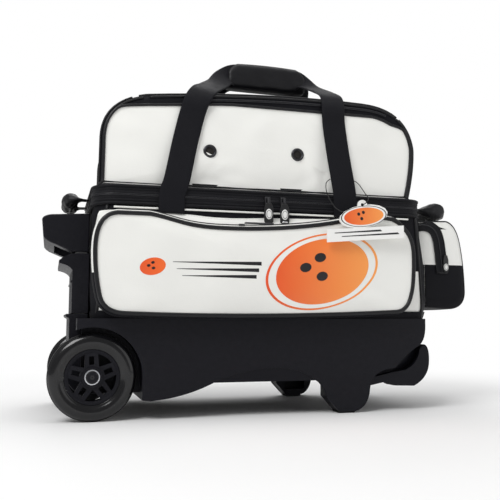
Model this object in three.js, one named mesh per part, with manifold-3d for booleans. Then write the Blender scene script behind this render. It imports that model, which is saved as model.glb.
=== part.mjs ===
// Two-ball roller bag: a moulded wheel base that carries a soft two-ball compartment, a hinged shoe
// compartment above it, a telescoping pull handle at the wheel end and folding carry straps.
// Millimetres, +Z up, +X from the wheel end to the foot end, -Y is the front. Z = 0 is the ground.
import * as THREE from "three";
import { mergeVertices } from "three/addons/utils/BufferGeometryUtils.js";
import Module from "manifold-3d";

const wasm = await Module();
wasm.setup();

// ---- Driving dimensions -------------------------------------------------------------------------
const GAP = 0.4; // clearance between pieces that seat on each other
const HALF_DEPTH = 145; // half of the base, front to back

const WHEEL_R = 63.5; // 5 inch wheel
const WHEEL_W = 30;
const AXLE_X = -287.5;
const ARCH_R = 71.5;
const WELL_DEPTH = 34; // from the base's side to the wheel well's inner wall
const SPOKE_PAIRS = 5;
const RIM_R = 39.4;
const HUB_R = 14.5;
const BEARING_R = 11.3;
const AXLE_R = 5;

const TRAY_TOP = 148;
const TRAY_END = 247.5;
const PAN_Z = 52; // underside of the floor pan
const WALL = 4;
const FOOT_SOLE = 3;

const TUBE_Y = 72; // the pull handle's tubes, each side of the middle
const TUBE_X = -304.5;
const TUBE_FOOT_Z = 45;
const TUBE_TOP_Z = 262;
const TUBE_SIZE = [18, 24];
const TUBE_WALL = 1.5;
const TUBE_SHRINK = 3.8; // each stage is this much smaller than the one around it
const STAGES = 3;

const BODY = { x0: -290, x1: 256, y: 142, z0: 148.6, z1: 316 };
const BODY_WALL = 6;
const BALL_R = 108;
const BALL_X = [-97, 122];
const BAND = { x0: -292, x1: 254, y: 143, z0: 317, split: 332, z1: 346.5 };
const UPPER = { y: 130, z0: 347.2, cut: 487 };
const UPPER_WALL = 4;

const POCKET_BACK = -143.6;
const POCKET_FRONT = -172;
const END_POCKET = { y: 85, wall: 4 };

const STRAP_W = 40;
const STRAP_T = 3;
const STRAP_BACK = 147.7; // the rear straps' outer face
const STRAP_FOLD_Z = 326; // where the straps fold down, just under the zip
const WRAP = { x0: -58, x1: 90, y: 18, z0: 563, z1: 610 };

// ---- Finishes -----------------------------------------------------------------------------------
const finish = (color, roughness, metalness = 0) => ({ color, roughness, metalness });
const MOULDED = finish(0x1e1e22, 0.55);
const URETHANE = finish(0x151517, 0.25);
const STEEL = finish(0x9a9ca0, 0.35, 1);
const GUNMETAL = finish(0x3a3a40, 0.4, 1);
const LEATHER = finish(0xedede8, 0.45);
const NYLON = finish(0x16171c, 0.85);
const FOAM = finish(0x2a2a2e, 0.95);
const CARD = finish(0xf6f6f4, 0.4);

// ---- Shape tools --------------------------------------------------------------------------------
function signedVolume(geometry) {
  const p = geometry.getAttribute("position");
  const [a, b, c] = [new THREE.Vector3(), new THREE.Vector3(), new THREE.Vector3()];
  let sum = 0;
  for (let i = 0; i < p.count; i += 3) {
    a.fromBufferAttribute(p, i);
    b.fromBufferAttribute(p, i + 1);
    c.fromBufferAttribute(p, i + 2);
    sum += a.dot(b.cross(c));
  }
  return sum / 6;
}

// The geometry with only its positions, and with every face pointing out.
function facingOut(geometry) {
  const loose = geometry.index ? geometry.toNonIndexed() : geometry;
  const out = new THREE.BufferGeometry();
  out.setAttribute("position", loose.getAttribute("position").clone());
  if (signedVolume(out) < 0) {
    const p = out.getAttribute("position");
    const swap = new THREE.Vector3();
    const other = new THREE.Vector3();
    for (let i = 0; i < p.count; i += 3) {
      swap.fromBufferAttribute(p, i + 1);
      other.fromBufferAttribute(p, i + 2);
      p.setXYZ(i + 1, other.x, other.y, other.z);
      p.setXYZ(i + 2, swap.x, swap.y, swap.z);
    }
  }
  return out;
}

// The geometry as a solid, without the slivers that near-equal outline points leave.
function solidOf(geometry) {
  const merged = mergeVertices(facingOut(geometry), 1e-3);
  const faces = [];
  for (let i = 0; i < merged.index.count; i += 3) {
    const [a, b, c] = merged.index.array.slice(i, i + 3);
    if (a !== b && b !== c && c !== a) faces.push(a, b, c);
  }
  const mesh = new wasm.Mesh({
    numProp: 3,
    vertProperties: merged.attributes.position.array,
    triVerts: new Uint32Array(faces),
  });
  return new wasm.Manifold(mesh);
}

function geometryOf(solid) {
  const mesh = solid.getMesh();
  const corners = new Float32Array(mesh.triVerts.length * 3);
  mesh.triVerts.forEach((vertex, i) => {
    const from = vertex * mesh.numProp;
    corners.set(mesh.vertProperties.subarray(from, from + 3), i * 3);
  });
  const geometry = new THREE.BufferGeometry();
  geometry.setAttribute("position", new THREE.BufferAttribute(corners, 3));
  return geometry;
}

const join = (...shapes) => geometryOf(shapes.map(solidOf).reduce((all, one) => all.add(one)));

const cut = (shape, ...tools) =>
  geometryOf(tools.map(solidOf).reduce((left, tool) => left.subtract(tool), solidOf(shape)));

const common = (shape, tool) => geometryOf(solidOf(shape).intersect(solidOf(tool)));

function box(x0, x1, y0, y1, z0, z1) {
  const made = new THREE.BoxGeometry(x1 - x0, y1 - y0, z1 - z0);
  return made.translate((x0 + x1) / 2, (y0 + y1) / 2, (z0 + z1) / 2);
}

// An outline drawn in X and Z, carried along Y from y0 to y1. A bevel rounds its front and back.
function prismY(outline, y0, y1, bevel = 0) {
  const drawn = outline instanceof THREE.Shape;
  const shape = drawn ? outline : new THREE.Shape(outline.map(([x, z]) => new THREE.Vector2(x, z)));
  const made = new THREE.ExtrudeGeometry(shape, {
    depth: y1 - y0 - 2 * bevel,
    curveSegments: 8,
    bevelEnabled: bevel > 0,
    bevelThickness: bevel,
    bevelSize: bevel,
    bevelOffset: -bevel,
    bevelSegments: 2,
  });
  return made.rotateX(Math.PI / 2).translate(0, y1 - bevel, 0);
}

// A ring turned about the Y axis at (x, z), from a closed profile of [radius, y] points.
function turnedY(profile, x, z, segments) {
  const points = [...profile, profile[0]].map(([r, y]) => new THREE.Vector2(r, y));
  return new THREE.LatheGeometry(points, segments).translate(x, 0, z);
}

function rodY(radius, x, z, y0, y1, segments = 20) {
  const made = new THREE.CylinderGeometry(radius, radius, y1 - y0, segments);
  return made.translate(x, (y0 + y1) / 2, z);
}

// A closed skin over rings that all have the same number of points.
function loft(rings) {
  const corners = [];
  const put = (...points) => points.forEach((p) => corners.push(p.x, p.y, p.z));
  const middle = (ring) =>
    ring.reduce((sum, p) => sum.add(p), new THREE.Vector3()).multiplyScalar(1 / ring.length);
  const count = rings[0].length;
  for (let k = 0; k + 1 < rings.length; k++) {
    for (let i = 0; i < count; i++) {
      const j = (i + 1) % count;
      put(rings[k][i], rings[k][j], rings[k + 1][j]);
      put(rings[k][i], rings[k + 1][j], rings[k + 1][i]);
    }
  }
  const [first, last] = [rings[0], rings[rings.length - 1]];
  const [low, high] = [middle(first), middle(last)];
  for (let i = 0; i < count; i++) {
    const j = (i + 1) % count;
    put(low, first[j], first[i]);
    put(high, last[i], last[j]);
  }
  const geometry = new THREE.BufferGeometry();
  geometry.setAttribute("position", new THREE.Float32BufferAttribute(corners, 3));
  return geometry;
}

// A rectangle with round corners, level at height z, as a ring of points.
function roundedRing(x0, x1, y0, y1, radius, z, steps = 4) {
  const ring = [];
  const corners = [[x1, y1, 0], [x0, y1, 1], [x0, y0, 2], [x1, y0, 3]];
  corners.forEach(([x, y, quarter]) => {
    const cx = x - Math.sign(x - (x0 + x1) / 2) * radius;
    const cy = y - Math.sign(y - (y0 + y1) / 2) * radius;
    for (let i = 0; i <= steps; i++) {
      const angle = ((quarter + i / steps) * Math.PI) / 2;
      ring.push(new THREE.Vector3(cx + radius * Math.cos(angle), cy + radius * Math.sin(angle), z));
    }
  });
  return ring;
}

// Webbing or tape along a route of {at, face}: face is the way its flat side looks.
function webbing(route, width, thickness) {
  const rings = route.map(({ at, face }, i) => {
    const before = route[Math.max(i - 1, 0)].at;
    const after = route[Math.min(i + 1, route.length - 1)].at;
    const along = after.clone().sub(before).normalize();
    const across = along.clone().cross(face).normalize();
    const out = across.clone().cross(along).normalize().multiplyScalar(thickness / 2);
    across.multiplyScalar(width / 2);
    return [
      at.clone().add(across).add(out),
      at.clone().sub(across).add(out),
      at.clone().sub(across).sub(out),
      at.clone().add(across).sub(out),
    ];
  });
  return loft(rings);
}

const bag = new THREE.Group();

function piece(name, geometry, look) {
  const made = geometryOf(solidOf(geometry));
  made.computeVertexNormals();
  const mesh = new THREE.Mesh(made, new THREE.MeshStandardMaterial(look));
  mesh.name = name;
  bag.add(mesh);
  return mesh;
}

// The same shape on the front and, mirrored, on the rear.
function frontAndRear(name, geometry, look) {
  piece("front_" + name, geometry, look);
  piece("rear_" + name, geometry, look).scale.y = -1;
}

// ---- Moulded base -------------------------------------------------------------------------------
const axleZ = WHEEL_R;
const skirtLeft = AXLE_X - 23.3;

// The side view of the base: wheel arch, low skirt, inner arch, foot and the raised far end.
function skirtOutline() {
  const shape = new THREE.Shape();
  const archStart = Math.acos((skirtLeft - AXLE_X) / ARCH_R);
  shape.moveTo(skirtLeft, TRAY_TOP);
  shape.lineTo(skirtLeft, axleZ + ARCH_R * Math.sin(archStart));
  shape.absarc(AXLE_X, axleZ, ARCH_R, archStart, 0, true);
  shape.lineTo(AXLE_X + ARCH_R, 29);
  shape.lineTo(-204.5, 27.5);
  shape.quadraticCurveTo(-150, 31, -103, 55);
  shape.quadraticCurveTo(3, 93, 59, 49);
  shape.quadraticCurveTo(70, 38, 72.5, 24.5);
  shape.lineTo(92.5, FOOT_SOLE);
  shape.lineTo(121, FOOT_SOLE);
  shape.quadraticCurveTo(143, 8, 146, 36);
  shape.quadraticCurveTo(148, 66, 191.5, 69);
  shape.quadraticCurveTo(204, 84, 228.5, 101);
  shape.quadraticCurveTo(TRAY_END, 107, TRAY_END, 138);
  shape.lineTo(TRAY_END, TRAY_TOP);
  return shape;
}

// The tub that the soft body drops into, grown outwards from its hollow by `grow`.
function tubOutline(grow, top) {
  return [
    [-209 - grow, top],
    [-209 - grow, PAN_Z + WALL - grow],
    [143 + grow * 0.7, PAN_Z + WALL - grow],
    [159, 73 - grow],
    [189 + grow * 0.5, 74.5 - grow],
    [211 + grow * 0.7, 95.5 - grow * 0.7],
    [237.5 + grow * 0.9, 112 - grow * 0.4],
    [243.5 + grow, 138],
    [243.5 + grow, top],
  ];
}

function axleBlock() {
  const wellWall = HALF_DEPTH - WELL_DEPTH;
  const left = AXLE_X - 15;
  const right = AXLE_X + ARCH_R + 4;
  const outline = [[left, 137], [left, 46], [left + 8, 38], [right, 38], [right, 137]];
  const hollow = box(AXLE_X + 14, right - 8, -wellWall + WALL, wellWall - WALL, 20, 131);
  return cut(prismY(outline, -wellWall, wellWall), hollow);
}

function footBlock(side) {
  const outline = new THREE.Shape();
  outline.moveTo(73, 56);
  outline.lineTo(73, 26);
  outline.lineTo(93, FOOT_SOLE);
  outline.lineTo(121, FOOT_SOLE);
  outline.quadraticCurveTo(142, 8, 145, 36);
  outline.lineTo(145, 56);
  const [inner, outer] = [HALF_DEPTH - 30, HALF_DEPTH - 1];
  const block = prismY(outline, inner, outer);
  const scoop = box(90, 130, inner - 1, outer - WALL, 14, PAN_Z);
  const made = cut(block, scoop);
  return side > 0 ? made : made.scale(1, -1, 1);
}

function panRibs() {
  const ribs = [-165, -110, -50, 10].map((x) => box(x - 1.5, x + 1.5, -60, 60, 48, PAN_Z + 1));
  const rails = [-60, 60].map((y) => box(-212, 142, y - 1.5, y + 1.5, 48, PAN_Z + 1));
  return [...ribs, ...rails];
}

function baseTray() {
  const skirt = prismY(skirtOutline(), -HALF_DEPTH, HALF_DEPTH);
  const between = box(AXLE_X + ARCH_R + WALL, 400, WALL - HALF_DEPTH, HALF_DEPTH - WALL, -1, 200);
  const sideWalls = cut(skirt, between);
  const tub = prismY(tubOutline(WALL, TRAY_TOP), -HALF_DEPTH + 1, HALF_DEPTH - 1);
  const hollow = prismY(tubOutline(0, TRAY_TOP + 5), WALL - HALF_DEPTH, HALF_DEPTH - WALL);
  const whole = join(sideWalls, tub, axleBlock(), footBlock(1), footBlock(-1), ...panRibs());
  const handleNotch = box(-400, -292.5, -90, 90, -1, 200);
  const axleHole = rodY(AXLE_R + GAP, AXLE_X, axleZ, -200, 200, 16);
  return cut(whole, hollow, handleNotch, axleHole);
}

function footSole() {
  const outline = [[91, FOOT_SOLE - GAP], [95, 0], [119, 0], [124, FOOT_SOLE - GAP]];
  return prismY(outline, 4 - HALF_DEPTH, 30 - HALF_DEPTH);
}

// The lifting loop under the far end: two curved arms and the bar that joins them.
function liftHandle() {
  const arm = new THREE.Shape();
  arm.moveTo(146.8, 41);
  arm.quadraticCurveTo(168, 45, 178.5, 47);
  arm.quadraticCurveTo(182, 40, 200, 40);
  arm.lineTo(227.5, 39);
  arm.quadraticCurveTo(256, 52, 256.2, 80);
  arm.quadraticCurveTo(257, 103, 248, 106);
  arm.lineTo(239, 98);
  arm.quadraticCurveTo(237, 76, 213.5, 65);
  arm.lineTo(191.5, 62);
  arm.lineTo(153, 54);
  arm.lineTo(146.8, 50.5);
  const reach = 139;
  const arms = [prismY(arm, -reach, 18 - reach), prismY(arm, reach - 18, reach)];
  const bar = new THREE.Shape();
  bar.moveTo(241, 66);
  bar.quadraticCurveTo(255.8, 64, 256, 82);
  bar.quadraticCurveTo(256.5, 103, 248, 105);
  bar.quadraticCurveTo(239, 104, 239.3, 92);
  return join(...arms, prismY(bar, -reach + 1, reach - 1));
}

// ---- Wheels -------------------------------------------------------------------------------------
function tyre() {
  const half = WHEEL_W / 2;
  const shoulder = [[RIM_R + GAP, half - 4], [44, half - 1.4], [50, half], [56, half - 0.8]];
  const tread = [[60.5, half - 3.5], [62.9, half - 8], [WHEEL_R, 0]];
  const upper = [...shoulder, ...tread];
  const lower = upper.slice(0, -1).map(([r, y]) => [r, -y]).reverse();
  return turnedY([...upper, ...lower], 0, 0, 36);
}

// A window between two spoke pairs: two straight sides that meet near the hub, and an arc outside.
function wideWindow(middle, halfPair, outer) {
  const path = new THREE.Path();
  const spread = Math.PI / SPOKE_PAIRS - Math.asin(halfPair / outer);
  const apex = (halfPair + 1.2) / Math.sin(Math.PI / SPOKE_PAIRS);
  path.moveTo(apex * Math.cos(middle), apex * Math.sin(middle));
  path.lineTo(outer * Math.cos(middle - spread), outer * Math.sin(middle - spread));
  path.absarc(0, 0, outer, middle - spread, middle + spread, false);
  path.closePath();
  return path;
}

// The slot between the two bars of one pair.
function slotWindow(middle, halfSlot, inner, outer) {
  const [c, s] = [Math.cos(middle), Math.sin(middle)];
  const spots = [[inner, -halfSlot], [outer, -halfSlot], [outer, halfSlot], [inner, halfSlot]];
  return new THREE.Path(spots.map(([r, t]) => new THREE.Vector2(r * c - t * s, r * s + t * c)));
}

function rim() {
  const disc = new THREE.Shape();
  disc.absarc(0, 0, RIM_R - 2, 0, Math.PI * 2, false);
  for (let k = 0; k < SPOKE_PAIRS; k++) {
    const pair = THREE.MathUtils.degToRad(93 + (360 / SPOKE_PAIRS) * k);
    disc.holes.push(wideWindow(pair + Math.PI / SPOKE_PAIRS, 9.2, 34));
    disc.holes.push(slotWindow(pair, 3.6, 18, 30));
  }
  const spokes = prismY(disc, -11.5, -4.5);
  const [edge, hubEdge] = [WHEEL_W / 2 - 3.2, WHEEL_W / 2 - 1.5];
  const lip = [[RIM_R, edge], [36, edge], [34.4, edge - 1.5]];
  const ring = turnedY([...lip, ...lip.map(([r, y]) => [r, -y]).reverse()], 0, 0, 30);
  const bore = BEARING_R + GAP;
  const hub = turnedY([[bore, -hubEdge], [HUB_R, -hubEdge], [HUB_R, hubEdge], [bore, hubEdge]], 0, 0, 24);
  return join(cut(spokes, rodY(bore + 0.2, 0, 0, -20, 20, 24)), ring, hub);
}

function bearingRing(inner, outer) {
  const half = 4;
  const profile = [[inner, -half], [outer - 0.4, -half], [outer, -half + 0.5], [outer, half], [inner, half]];
  return turnedY(profile, 0, 0, 18).translate(0, -8.5, 0);
}

function axleBolt() {
  const shank = rodY(AXLE_R, 0, 0, -13, 46, 16);
  return join(shank, rodY(7.6, 0, 0, -14.6, -12.8, 24));
}

function wheels() {
  const wheelY = -HALF_DEPTH + WHEEL_W / 2;
  const place = (shape) => shape.translate(AXLE_X, wheelY, axleZ);
  frontAndRear("wheel_tyre", place(tyre()), URETHANE);
  frontAndRear("wheel_rim", place(rim()), MOULDED);
  frontAndRear("wheel_bearing_outer", place(bearingRing(8.9, BEARING_R)), STEEL);
  frontAndRear("wheel_bearing_inner", place(bearingRing(AXLE_R + GAP, 8.5)), STEEL);
  frontAndRear("axle_bolt", place(axleBolt()), MOULDED);
}

// ---- Telescoping pull handle --------------------------------------------------------------------
// One tube of the handle: stage 0 is fixed, and each later stage slides inside the one before.
function handleTube(stage) {
  const [sizeX, sizeY] = TUBE_SIZE.map((size) => size - stage * TUBE_SHRINK);
  const [z0, z1] = [TUBE_FOOT_Z + 4 * stage, TUBE_TOP_Z + 2.5 * stage];
  const outer = box(-sizeX / 2, sizeX / 2, -sizeY / 2, sizeY / 2, z0, z1);
  const [boreX, boreY] = [sizeX / 2 - TUBE_WALL, sizeY / 2 - TUBE_WALL];
  const bore = box(-boreX, boreX, -boreY, boreY, z0 - 1, z1 + 1);
  return cut(outer, bore).translate(TUBE_X, -TUBE_Y, 0);
}

// The holes that the two fixed tubes, grown by `grow`, leave in a housing.
function tubePair(grow, z0, z1) {
  const [hx, hy] = TUBE_SIZE.map((size) => size / 2 + grow);
  return [-TUBE_Y, TUBE_Y].map((y) => box(TUBE_X - hx, TUBE_X + hx, y - hy, y + hy, z0, z1));
}

// The upper housing, with the shelf that stands out under the grip.
function handleHousing() {
  const outline = new THREE.Shape();
  outline.moveTo(-292.9, 247);
  outline.lineTo(-312.5, 247);
  outline.quadraticCurveTo(-326, 246, -337.5, 236);
  outline.lineTo(-337, 231.5);
  outline.quadraticCurveTo(-322, 229, -317.4, 221);
  outline.lineTo(-317.4, 156);
  outline.lineTo(-292.9, 156);
  const block = prismY(outline, -88, 88);
  const fromBelow = [-28, 28].map((y) => box(-314.5, -296, y - 24, y + 24, 150, 243));
  return cut(block, ...tubePair(GAP, 100, 300), ...fromBelow);
}

// The lower bracket, which holds the tubes' feet beside the axle block.
function handleFoot() {
  const outline = [[-292.9, 155], [-325.5, 155], [-325.5, 151], [-320.5, 148], [-320.5, 52], [-312, 41], [-292.9, 41]];
  const block = prismY(outline, -88, 88);
  const hollow = [-28, 28].map((y) => box(-316.5, -296.5, y - 24, y + 24, 30, 151));
  return cut(block, ...tubePair(GAP, TUBE_FOOT_Z - 0.4, 300), ...hollow);
}

// The U-shaped grip: a wedge in side view, open in the middle so that it passes the end handle.
function pullGrip() {
  const outline = new THREE.Shape();
  outline.moveTo(-293.2, 310);
  outline.lineTo(-345, 307);
  outline.quadraticCurveTo(-363, 306, -364, 298);
  outline.lineTo(-361.5, 272);
  outline.quadraticCurveTo(-358, 266, -348, 262);
  outline.lineTo(-322, 251);
  outline.lineTo(-318, 248 + 1);
  outline.lineTo(-293.2, 249);
  const [reach, armIn, barIn] = [86, 58, -345];
  const block = prismY(outline, -reach, reach, 3);
  const gap = prismY([[barIn, 200], [-280, 200], [-280, 400], [barIn, 400]], -armIn, armIn);
  const topStage = TUBE_SIZE.map((size) => size / 2 - (STAGES * TUBE_SHRINK) / 2 + GAP);
  const lowStages = TUBE_SIZE.map((size) => size / 2 + GAP);
  const sockets = [-TUBE_Y, TUBE_Y].flatMap((y) => [
    box(TUBE_X - topStage[0], TUBE_X + topStage[0], y - topStage[1], y + topStage[1], 240, 292),
    box(TUBE_X - lowStages[0], TUBE_X + lowStages[0], y - lowStages[1], y + lowStages[1], 240, 268),
  ]);
  const buttonWell = box(-359, -349, -16, 16, 296, 320);
  return cut(block, gap, ...sockets, buttonWell);
}

function pullHandle() {
  piece("handle_housing", handleHousing(), MOULDED);
  piece("handle_foot_bracket", handleFoot(), MOULDED);
  frontAndRear("handle_outer_tube", handleTube(0), STEEL);
  frontAndRear("handle_lower_stage", handleTube(1), STEEL);
  frontAndRear("handle_middle_stage", handleTube(2), STEEL);
  frontAndRear("handle_upper_stage", topStageTube(), STEEL);
  piece("pull_grip", pullGrip(), MOULDED);
  piece("release_button", box(-358.5, -349.5, -15.5, 15.5, 299.5, 309), GUNMETAL);
}

// The last stage runs on up into the grip.
function topStageTube() {
  const tube = handleTube(STAGES);
  const [sizeX, sizeY] = TUBE_SIZE.map((size) => size - STAGES * TUBE_SHRINK);
  const z0 = TUBE_TOP_Z + 2.5 * STAGES - 1;
  const tail = box(-sizeX / 2, sizeX / 2, -sizeY / 2, sizeY / 2, z0, 291).translate(TUBE_X, -TUBE_Y, 0);
  return join(tube, tail);
}

// ---- Soft lower body ----------------------------------------------------------------------------
function lowerBody() {
  const skin = (inset, z0, z1) => {
    const ring = (x0, x1, y, z) =>
      roundedRing(x0 + inset, x1 - inset, -y + inset, y - inset, 36 - inset, z);
    return loft([
      ring(BODY.x0 + 3, BODY.x1 + 2, BODY.y - 2, z0),
      ring(BODY.x0, BODY.x1 + 10, BODY.y, 172),
      ring(BODY.x0, BODY.x1 + 5, BODY.y, 236),
      ring(BODY.x0 + 1, BODY.x1 - 1, BODY.y - 0.5, z1),
    ]);
  };
  const inTray = prismY(tubOutline(-0.5, 165), WALL + 0.5 - HALF_DEPTH, HALF_DEPTH - WALL - 0.5);
  const inTrayHollow = prismY(tubOutline(-3.5, 170), WALL + 4 - HALF_DEPTH, HALF_DEPTH - WALL - 4);
  const outer = join(skin(0, BODY.z0, BODY.z1), inTray);
  return cut(outer, skin(BODY_WALL, BODY.z0 + 4, BODY.z1 + 5), inTrayHollow);
}

// A foam ring with a seat of the ball's own radius, trimmed to the tray it stands in.
function ballCup(x, floor) {
  const seat = [34, 48, 62, 74, 84].map((r) => [r, BALL_R + 6 - Math.sqrt(BALL_R ** 2 - r ** 2)]);
  const profile = [[34, 0], [88, 0], [88, seat[4][1]], ...seat.reverse()];
  const ring = turnedY(profile, 0, 0, 20).rotateX(Math.PI / 2).translate(x, 0, floor);
  return common(ring, prismY(tubOutline(-3.5 - GAP, 170), -100, 100));
}

function band(z0, z1) {
  const ring = (inset, z) =>
    roundedRing(BAND.x0 + inset, BAND.x1 - inset, -BAND.y + inset, BAND.y - inset, 36 - inset, z);
  const outer = loft([ring(1.5, z0), ring(0, z0 + 2), ring(0, z1 - 2), ring(1.5, z1)]);
  return cut(outer, loft([ring(7, z0 - 2), ring(7, z1 + 2)]));
}

function softBody() {
  piece("lower_body", lowerBody(), LEATHER);
  const floor = PAN_Z + WALL + 3.5 + GAP;
  piece("ball_cup_wheel_end", ballCup(BALL_X[0], floor), FOAM);
  piece("ball_cup_foot_end", ballCup(BALL_X[1], floor), FOAM);
  piece("main_zip_lower", band(BAND.z0, BAND.split - 0.5), NYLON);
  piece("main_zip_upper", band(BAND.split + 0.5, BAND.z1), NYLON);
}

// ---- Shoe compartment ---------------------------------------------------------------------------
// Its side view: upright ends that lean out a little and a crowned top with round corners.
function upperOutline(inset) {
  const shape = new THREE.Shape();
  shape.moveTo(-284 + inset, UPPER.z0 + inset);
  shape.lineTo(-283 + inset, 440);
  shape.quadraticCurveTo(-281 + inset, 484 - inset, -235, 491 - inset);
  shape.quadraticCurveTo(-20, 514 - inset, 150, 509 - inset);
  shape.quadraticCurveTo(232 - inset, 506 - inset, 243 - inset, 438);
  shape.quadraticCurveTo(244 - inset, 400, 230 - inset, UPPER.z0 + inset);
  return shape;
}

// The hollow compartment between two heights: the part below its zip, or the flap above it.
function upperShell(z0, z1) {
  const inner = UPPER.y - UPPER_WALL;
  const outside = prismY(upperOutline(0), -UPPER.y, UPPER.y, 9);
  const shell = cut(outside, prismY(upperOutline(UPPER_WALL), -inner, inner, 6));
  return common(shell, box(-400, 400, -200, 200, z0, z1));
}

function eyelet() {
  const profile = [[4.6, -3.2], [8, -3.2], [10.7, -1.6], [10.7, 0], [4.6, 0]];
  return turnedY(profile, 0, 0, 18).translate(0, -UPPER.y - GAP, 0);
}

function shoeCompartment() {
  piece("upper_body", upperShell(300, UPPER.cut), LEATHER);
  piece("top_flap", upperShell(UPPER.cut + 0.6, 600), LEATHER);
  piece("vent_eyelet_wheel_end", eyelet().translate(-115, 0, 408), GUNMETAL);
  piece("vent_eyelet_foot_end", eyelet().translate(30, 0, 412), GUNMETAL);
}

// ---- Pockets ------------------------------------------------------------------------------------
// The front pocket's outline. Its waved top edge dips in the middle, below the main zip pulls.
function pocketOutline(inset, mouthTop) {
  const shape = new THREE.Shape();
  shape.moveTo(-269 + inset, mouthTop ?? 302);
  if (mouthTop) {
    shape.lineTo(160 - inset, mouthTop);
    shape.lineTo(194 - inset, mouthTop);
  } else {
    shape.lineTo(-211, 302);
    shape.bezierCurveTo(-180, 298, -160, 287, -110, 286);
    shape.bezierCurveTo(-20, 284, 60, 296, 98, 305);
    shape.quadraticCurveTo(140, 316, 180, 310);
    shape.quadraticCurveTo(194, 305, 201, 296);
  }
  shape.quadraticCurveTo(219 - inset, 280, 219 - inset, 250);
  shape.quadraticCurveTo(219 - inset, 205, 213 - inset, 186);
  shape.quadraticCurveTo(206 - inset, 156 + inset, 180, 156 + inset);
  shape.quadraticCurveTo(-40, 145 + inset, -238, 154 + inset);
  shape.quadraticCurveTo(-288 + inset, 158 + inset, -291.5 + inset, 235);
  shape.quadraticCurveTo(-292 + inset, 290, -269 + inset, mouthTop ?? 302);
  return shape;
}

function frontPocket() {
  const block = prismY(pocketOutline(0), POCKET_FRONT, POCKET_BACK, 6);
  const room = prismY(pocketOutline(9, 330), POCKET_FRONT + 5, POCKET_BACK - 3);
  return cut(block, room);
}

// The closed part of the pocket's zip, a tape across the mouth from its end to the slider.
function frontPocketZip() {
  const y = (POCKET_FRONT + 5 + POCKET_BACK - 3) / 2;
  const width = POCKET_BACK - 3 - POCKET_FRONT - 5 - 2 * GAP;
  const spots = [[-250, 299], [-211, 299], [-190, 296], [-165, 289], [-140, 284.5], [-110, 283], [-80, 282.6]];
  const up = new THREE.Vector3(0, 0, 1);
  return webbing(spots.map(([x, z]) => ({ at: new THREE.Vector3(x, y, z), face: up })), width, 2);
}

function endPocketOutline(inset) {
  const shape = new THREE.Shape();
  shape.moveTo(267 + inset, 168 + inset);
  shape.lineTo(267 + inset, 321 - inset);
  shape.lineTo(330, 323 - inset);
  shape.quadraticCurveTo(352 - inset, 318 - inset, 358 - inset, 275);
  shape.quadraticCurveTo(364 - inset, 240, 364 - inset, 195);
  shape.quadraticCurveTo(362 - inset, 166 + inset, 330, 165 + inset);
  return shape;
}

function endPocket() {
  const { y, wall } = END_POCKET;
  const block = prismY(endPocketOutline(0), -y, y, 8);
  const room = prismY(endPocketOutline(wall), wall - y, y - wall);
  const mouth = box(284, 326, -66, 66, 300, 340);
  return cut(block, room, mouth);
}

function pockets() {
  piece("front_pocket", frontPocket(), LEATHER);
  piece("front_pocket_zip", frontPocketZip(), NYLON);
  piece("end_pocket", endPocket(), LEATHER);
  piece("end_pocket_zip", box(284.4, 312, -65.6, 65.6, 318, 320.5), NYLON);
}

// ---- Carry straps -------------------------------------------------------------------------------
const [toFront, toFrontTop] = [new THREE.Vector3(0, -1, 0), new THREE.Vector3(0, -0.6, 0.8)];

// The front loop's route: up the wheel-end leg, through the grip wrap, down the foot-end leg.
function strapRoute() {
  const leg = (x, y, z, face) => ({ at: new THREE.Vector3(x, y, z), face });
  return [
    leg(-176, -146.2, STRAP_FOLD_Z + 0.6, toFront),
    leg(-176, -146.2, 338, toFront),
    leg(-170, -146, 352, toFront),
    leg(-155, -139, 420, toFront),
    leg(-143, -135.5, 474, toFront),
    leg(-136, -136, 494, new THREE.Vector3(0, -0.95, 0.3)),
    leg(-124, -125, 518, toFrontTop),
    leg(-100, -79, 548, toFrontTop),
    leg(-76, -32, 571, toFrontTop),
    leg(-58, -12, 583, new THREE.Vector3(0, -0.95, 0.3)),
    leg(-38, -9, 586.5, toFront),
    leg(70, -9, 586.5, toFront),
    leg(86, -14, 581, new THREE.Vector3(0, -0.95, 0.3)),
    leg(95, -36, 569, toFrontTop),
    leg(97, -82, 549, toFrontTop),
    leg(94, -126, 519, toFrontTop),
    leg(92, -136.5, 496, new THREE.Vector3(0, -0.95, 0.3)),
    leg(93, -135.5, 474, toFront),
    leg(98, -139, 420, toFront),
    leg(106, -146, 352, toFront),
    leg(107, -146.2, 338, toFront),
    leg(107, -146.2, STRAP_FOLD_Z + 0.6, toFront),
  ];
}

// The sewn end of a strap, below the fold.
function strapTail(x, z0) {
  return box(x - STRAP_W / 2, x + STRAP_W / 2, -147.7, -144.7, z0, STRAP_FOLD_Z);
}

// Half of the grip wrap: a padded half-tube with a slot for its strap.
function wrapHalf() {
  const { x0, x1, y, z0, z1 } = WRAP;
  const section = (x, grow) => {
    const ring = [];
    const [midZ, halfZ] = [(z0 + z1) / 2, (z1 - z0) / 2 + grow];
    for (let i = 0; i <= 12; i++) {
      const angle = Math.PI / 2 + (i / 12) * Math.PI;
      const bulge = Math.abs(Math.cos(angle)) ** 0.7;
      const rise = Math.sign(Math.sin(angle)) * Math.abs(Math.sin(angle)) ** 0.6;
      ring.push(new THREE.Vector3(x, -0.4 - (y - 0.4 + grow) * bulge, midZ + halfZ * rise));
    }
    return ring;
  };
  const padded = loft([section(x0, -3), section(x0 + 5, 0), section(x1 - 5, 0), section(x1, -3)]);
  return cut(padded, webbing(strapRoute(), STRAP_W + 2 * GAP, STRAP_T + 2 * GAP));
}

function carryStraps() {
  frontAndRear("carry_strap", webbing(strapRoute(), STRAP_W, STRAP_T), NYLON);
  frontAndRear("strap_tail_wheel_end", strapTail(-176.5, 306), NYLON);
  frontAndRear("strap_tail_foot_end", strapTail(107, 311), NYLON);
  frontAndRear("grip_wrap", wrapHalf(), NYLON);
}

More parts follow.
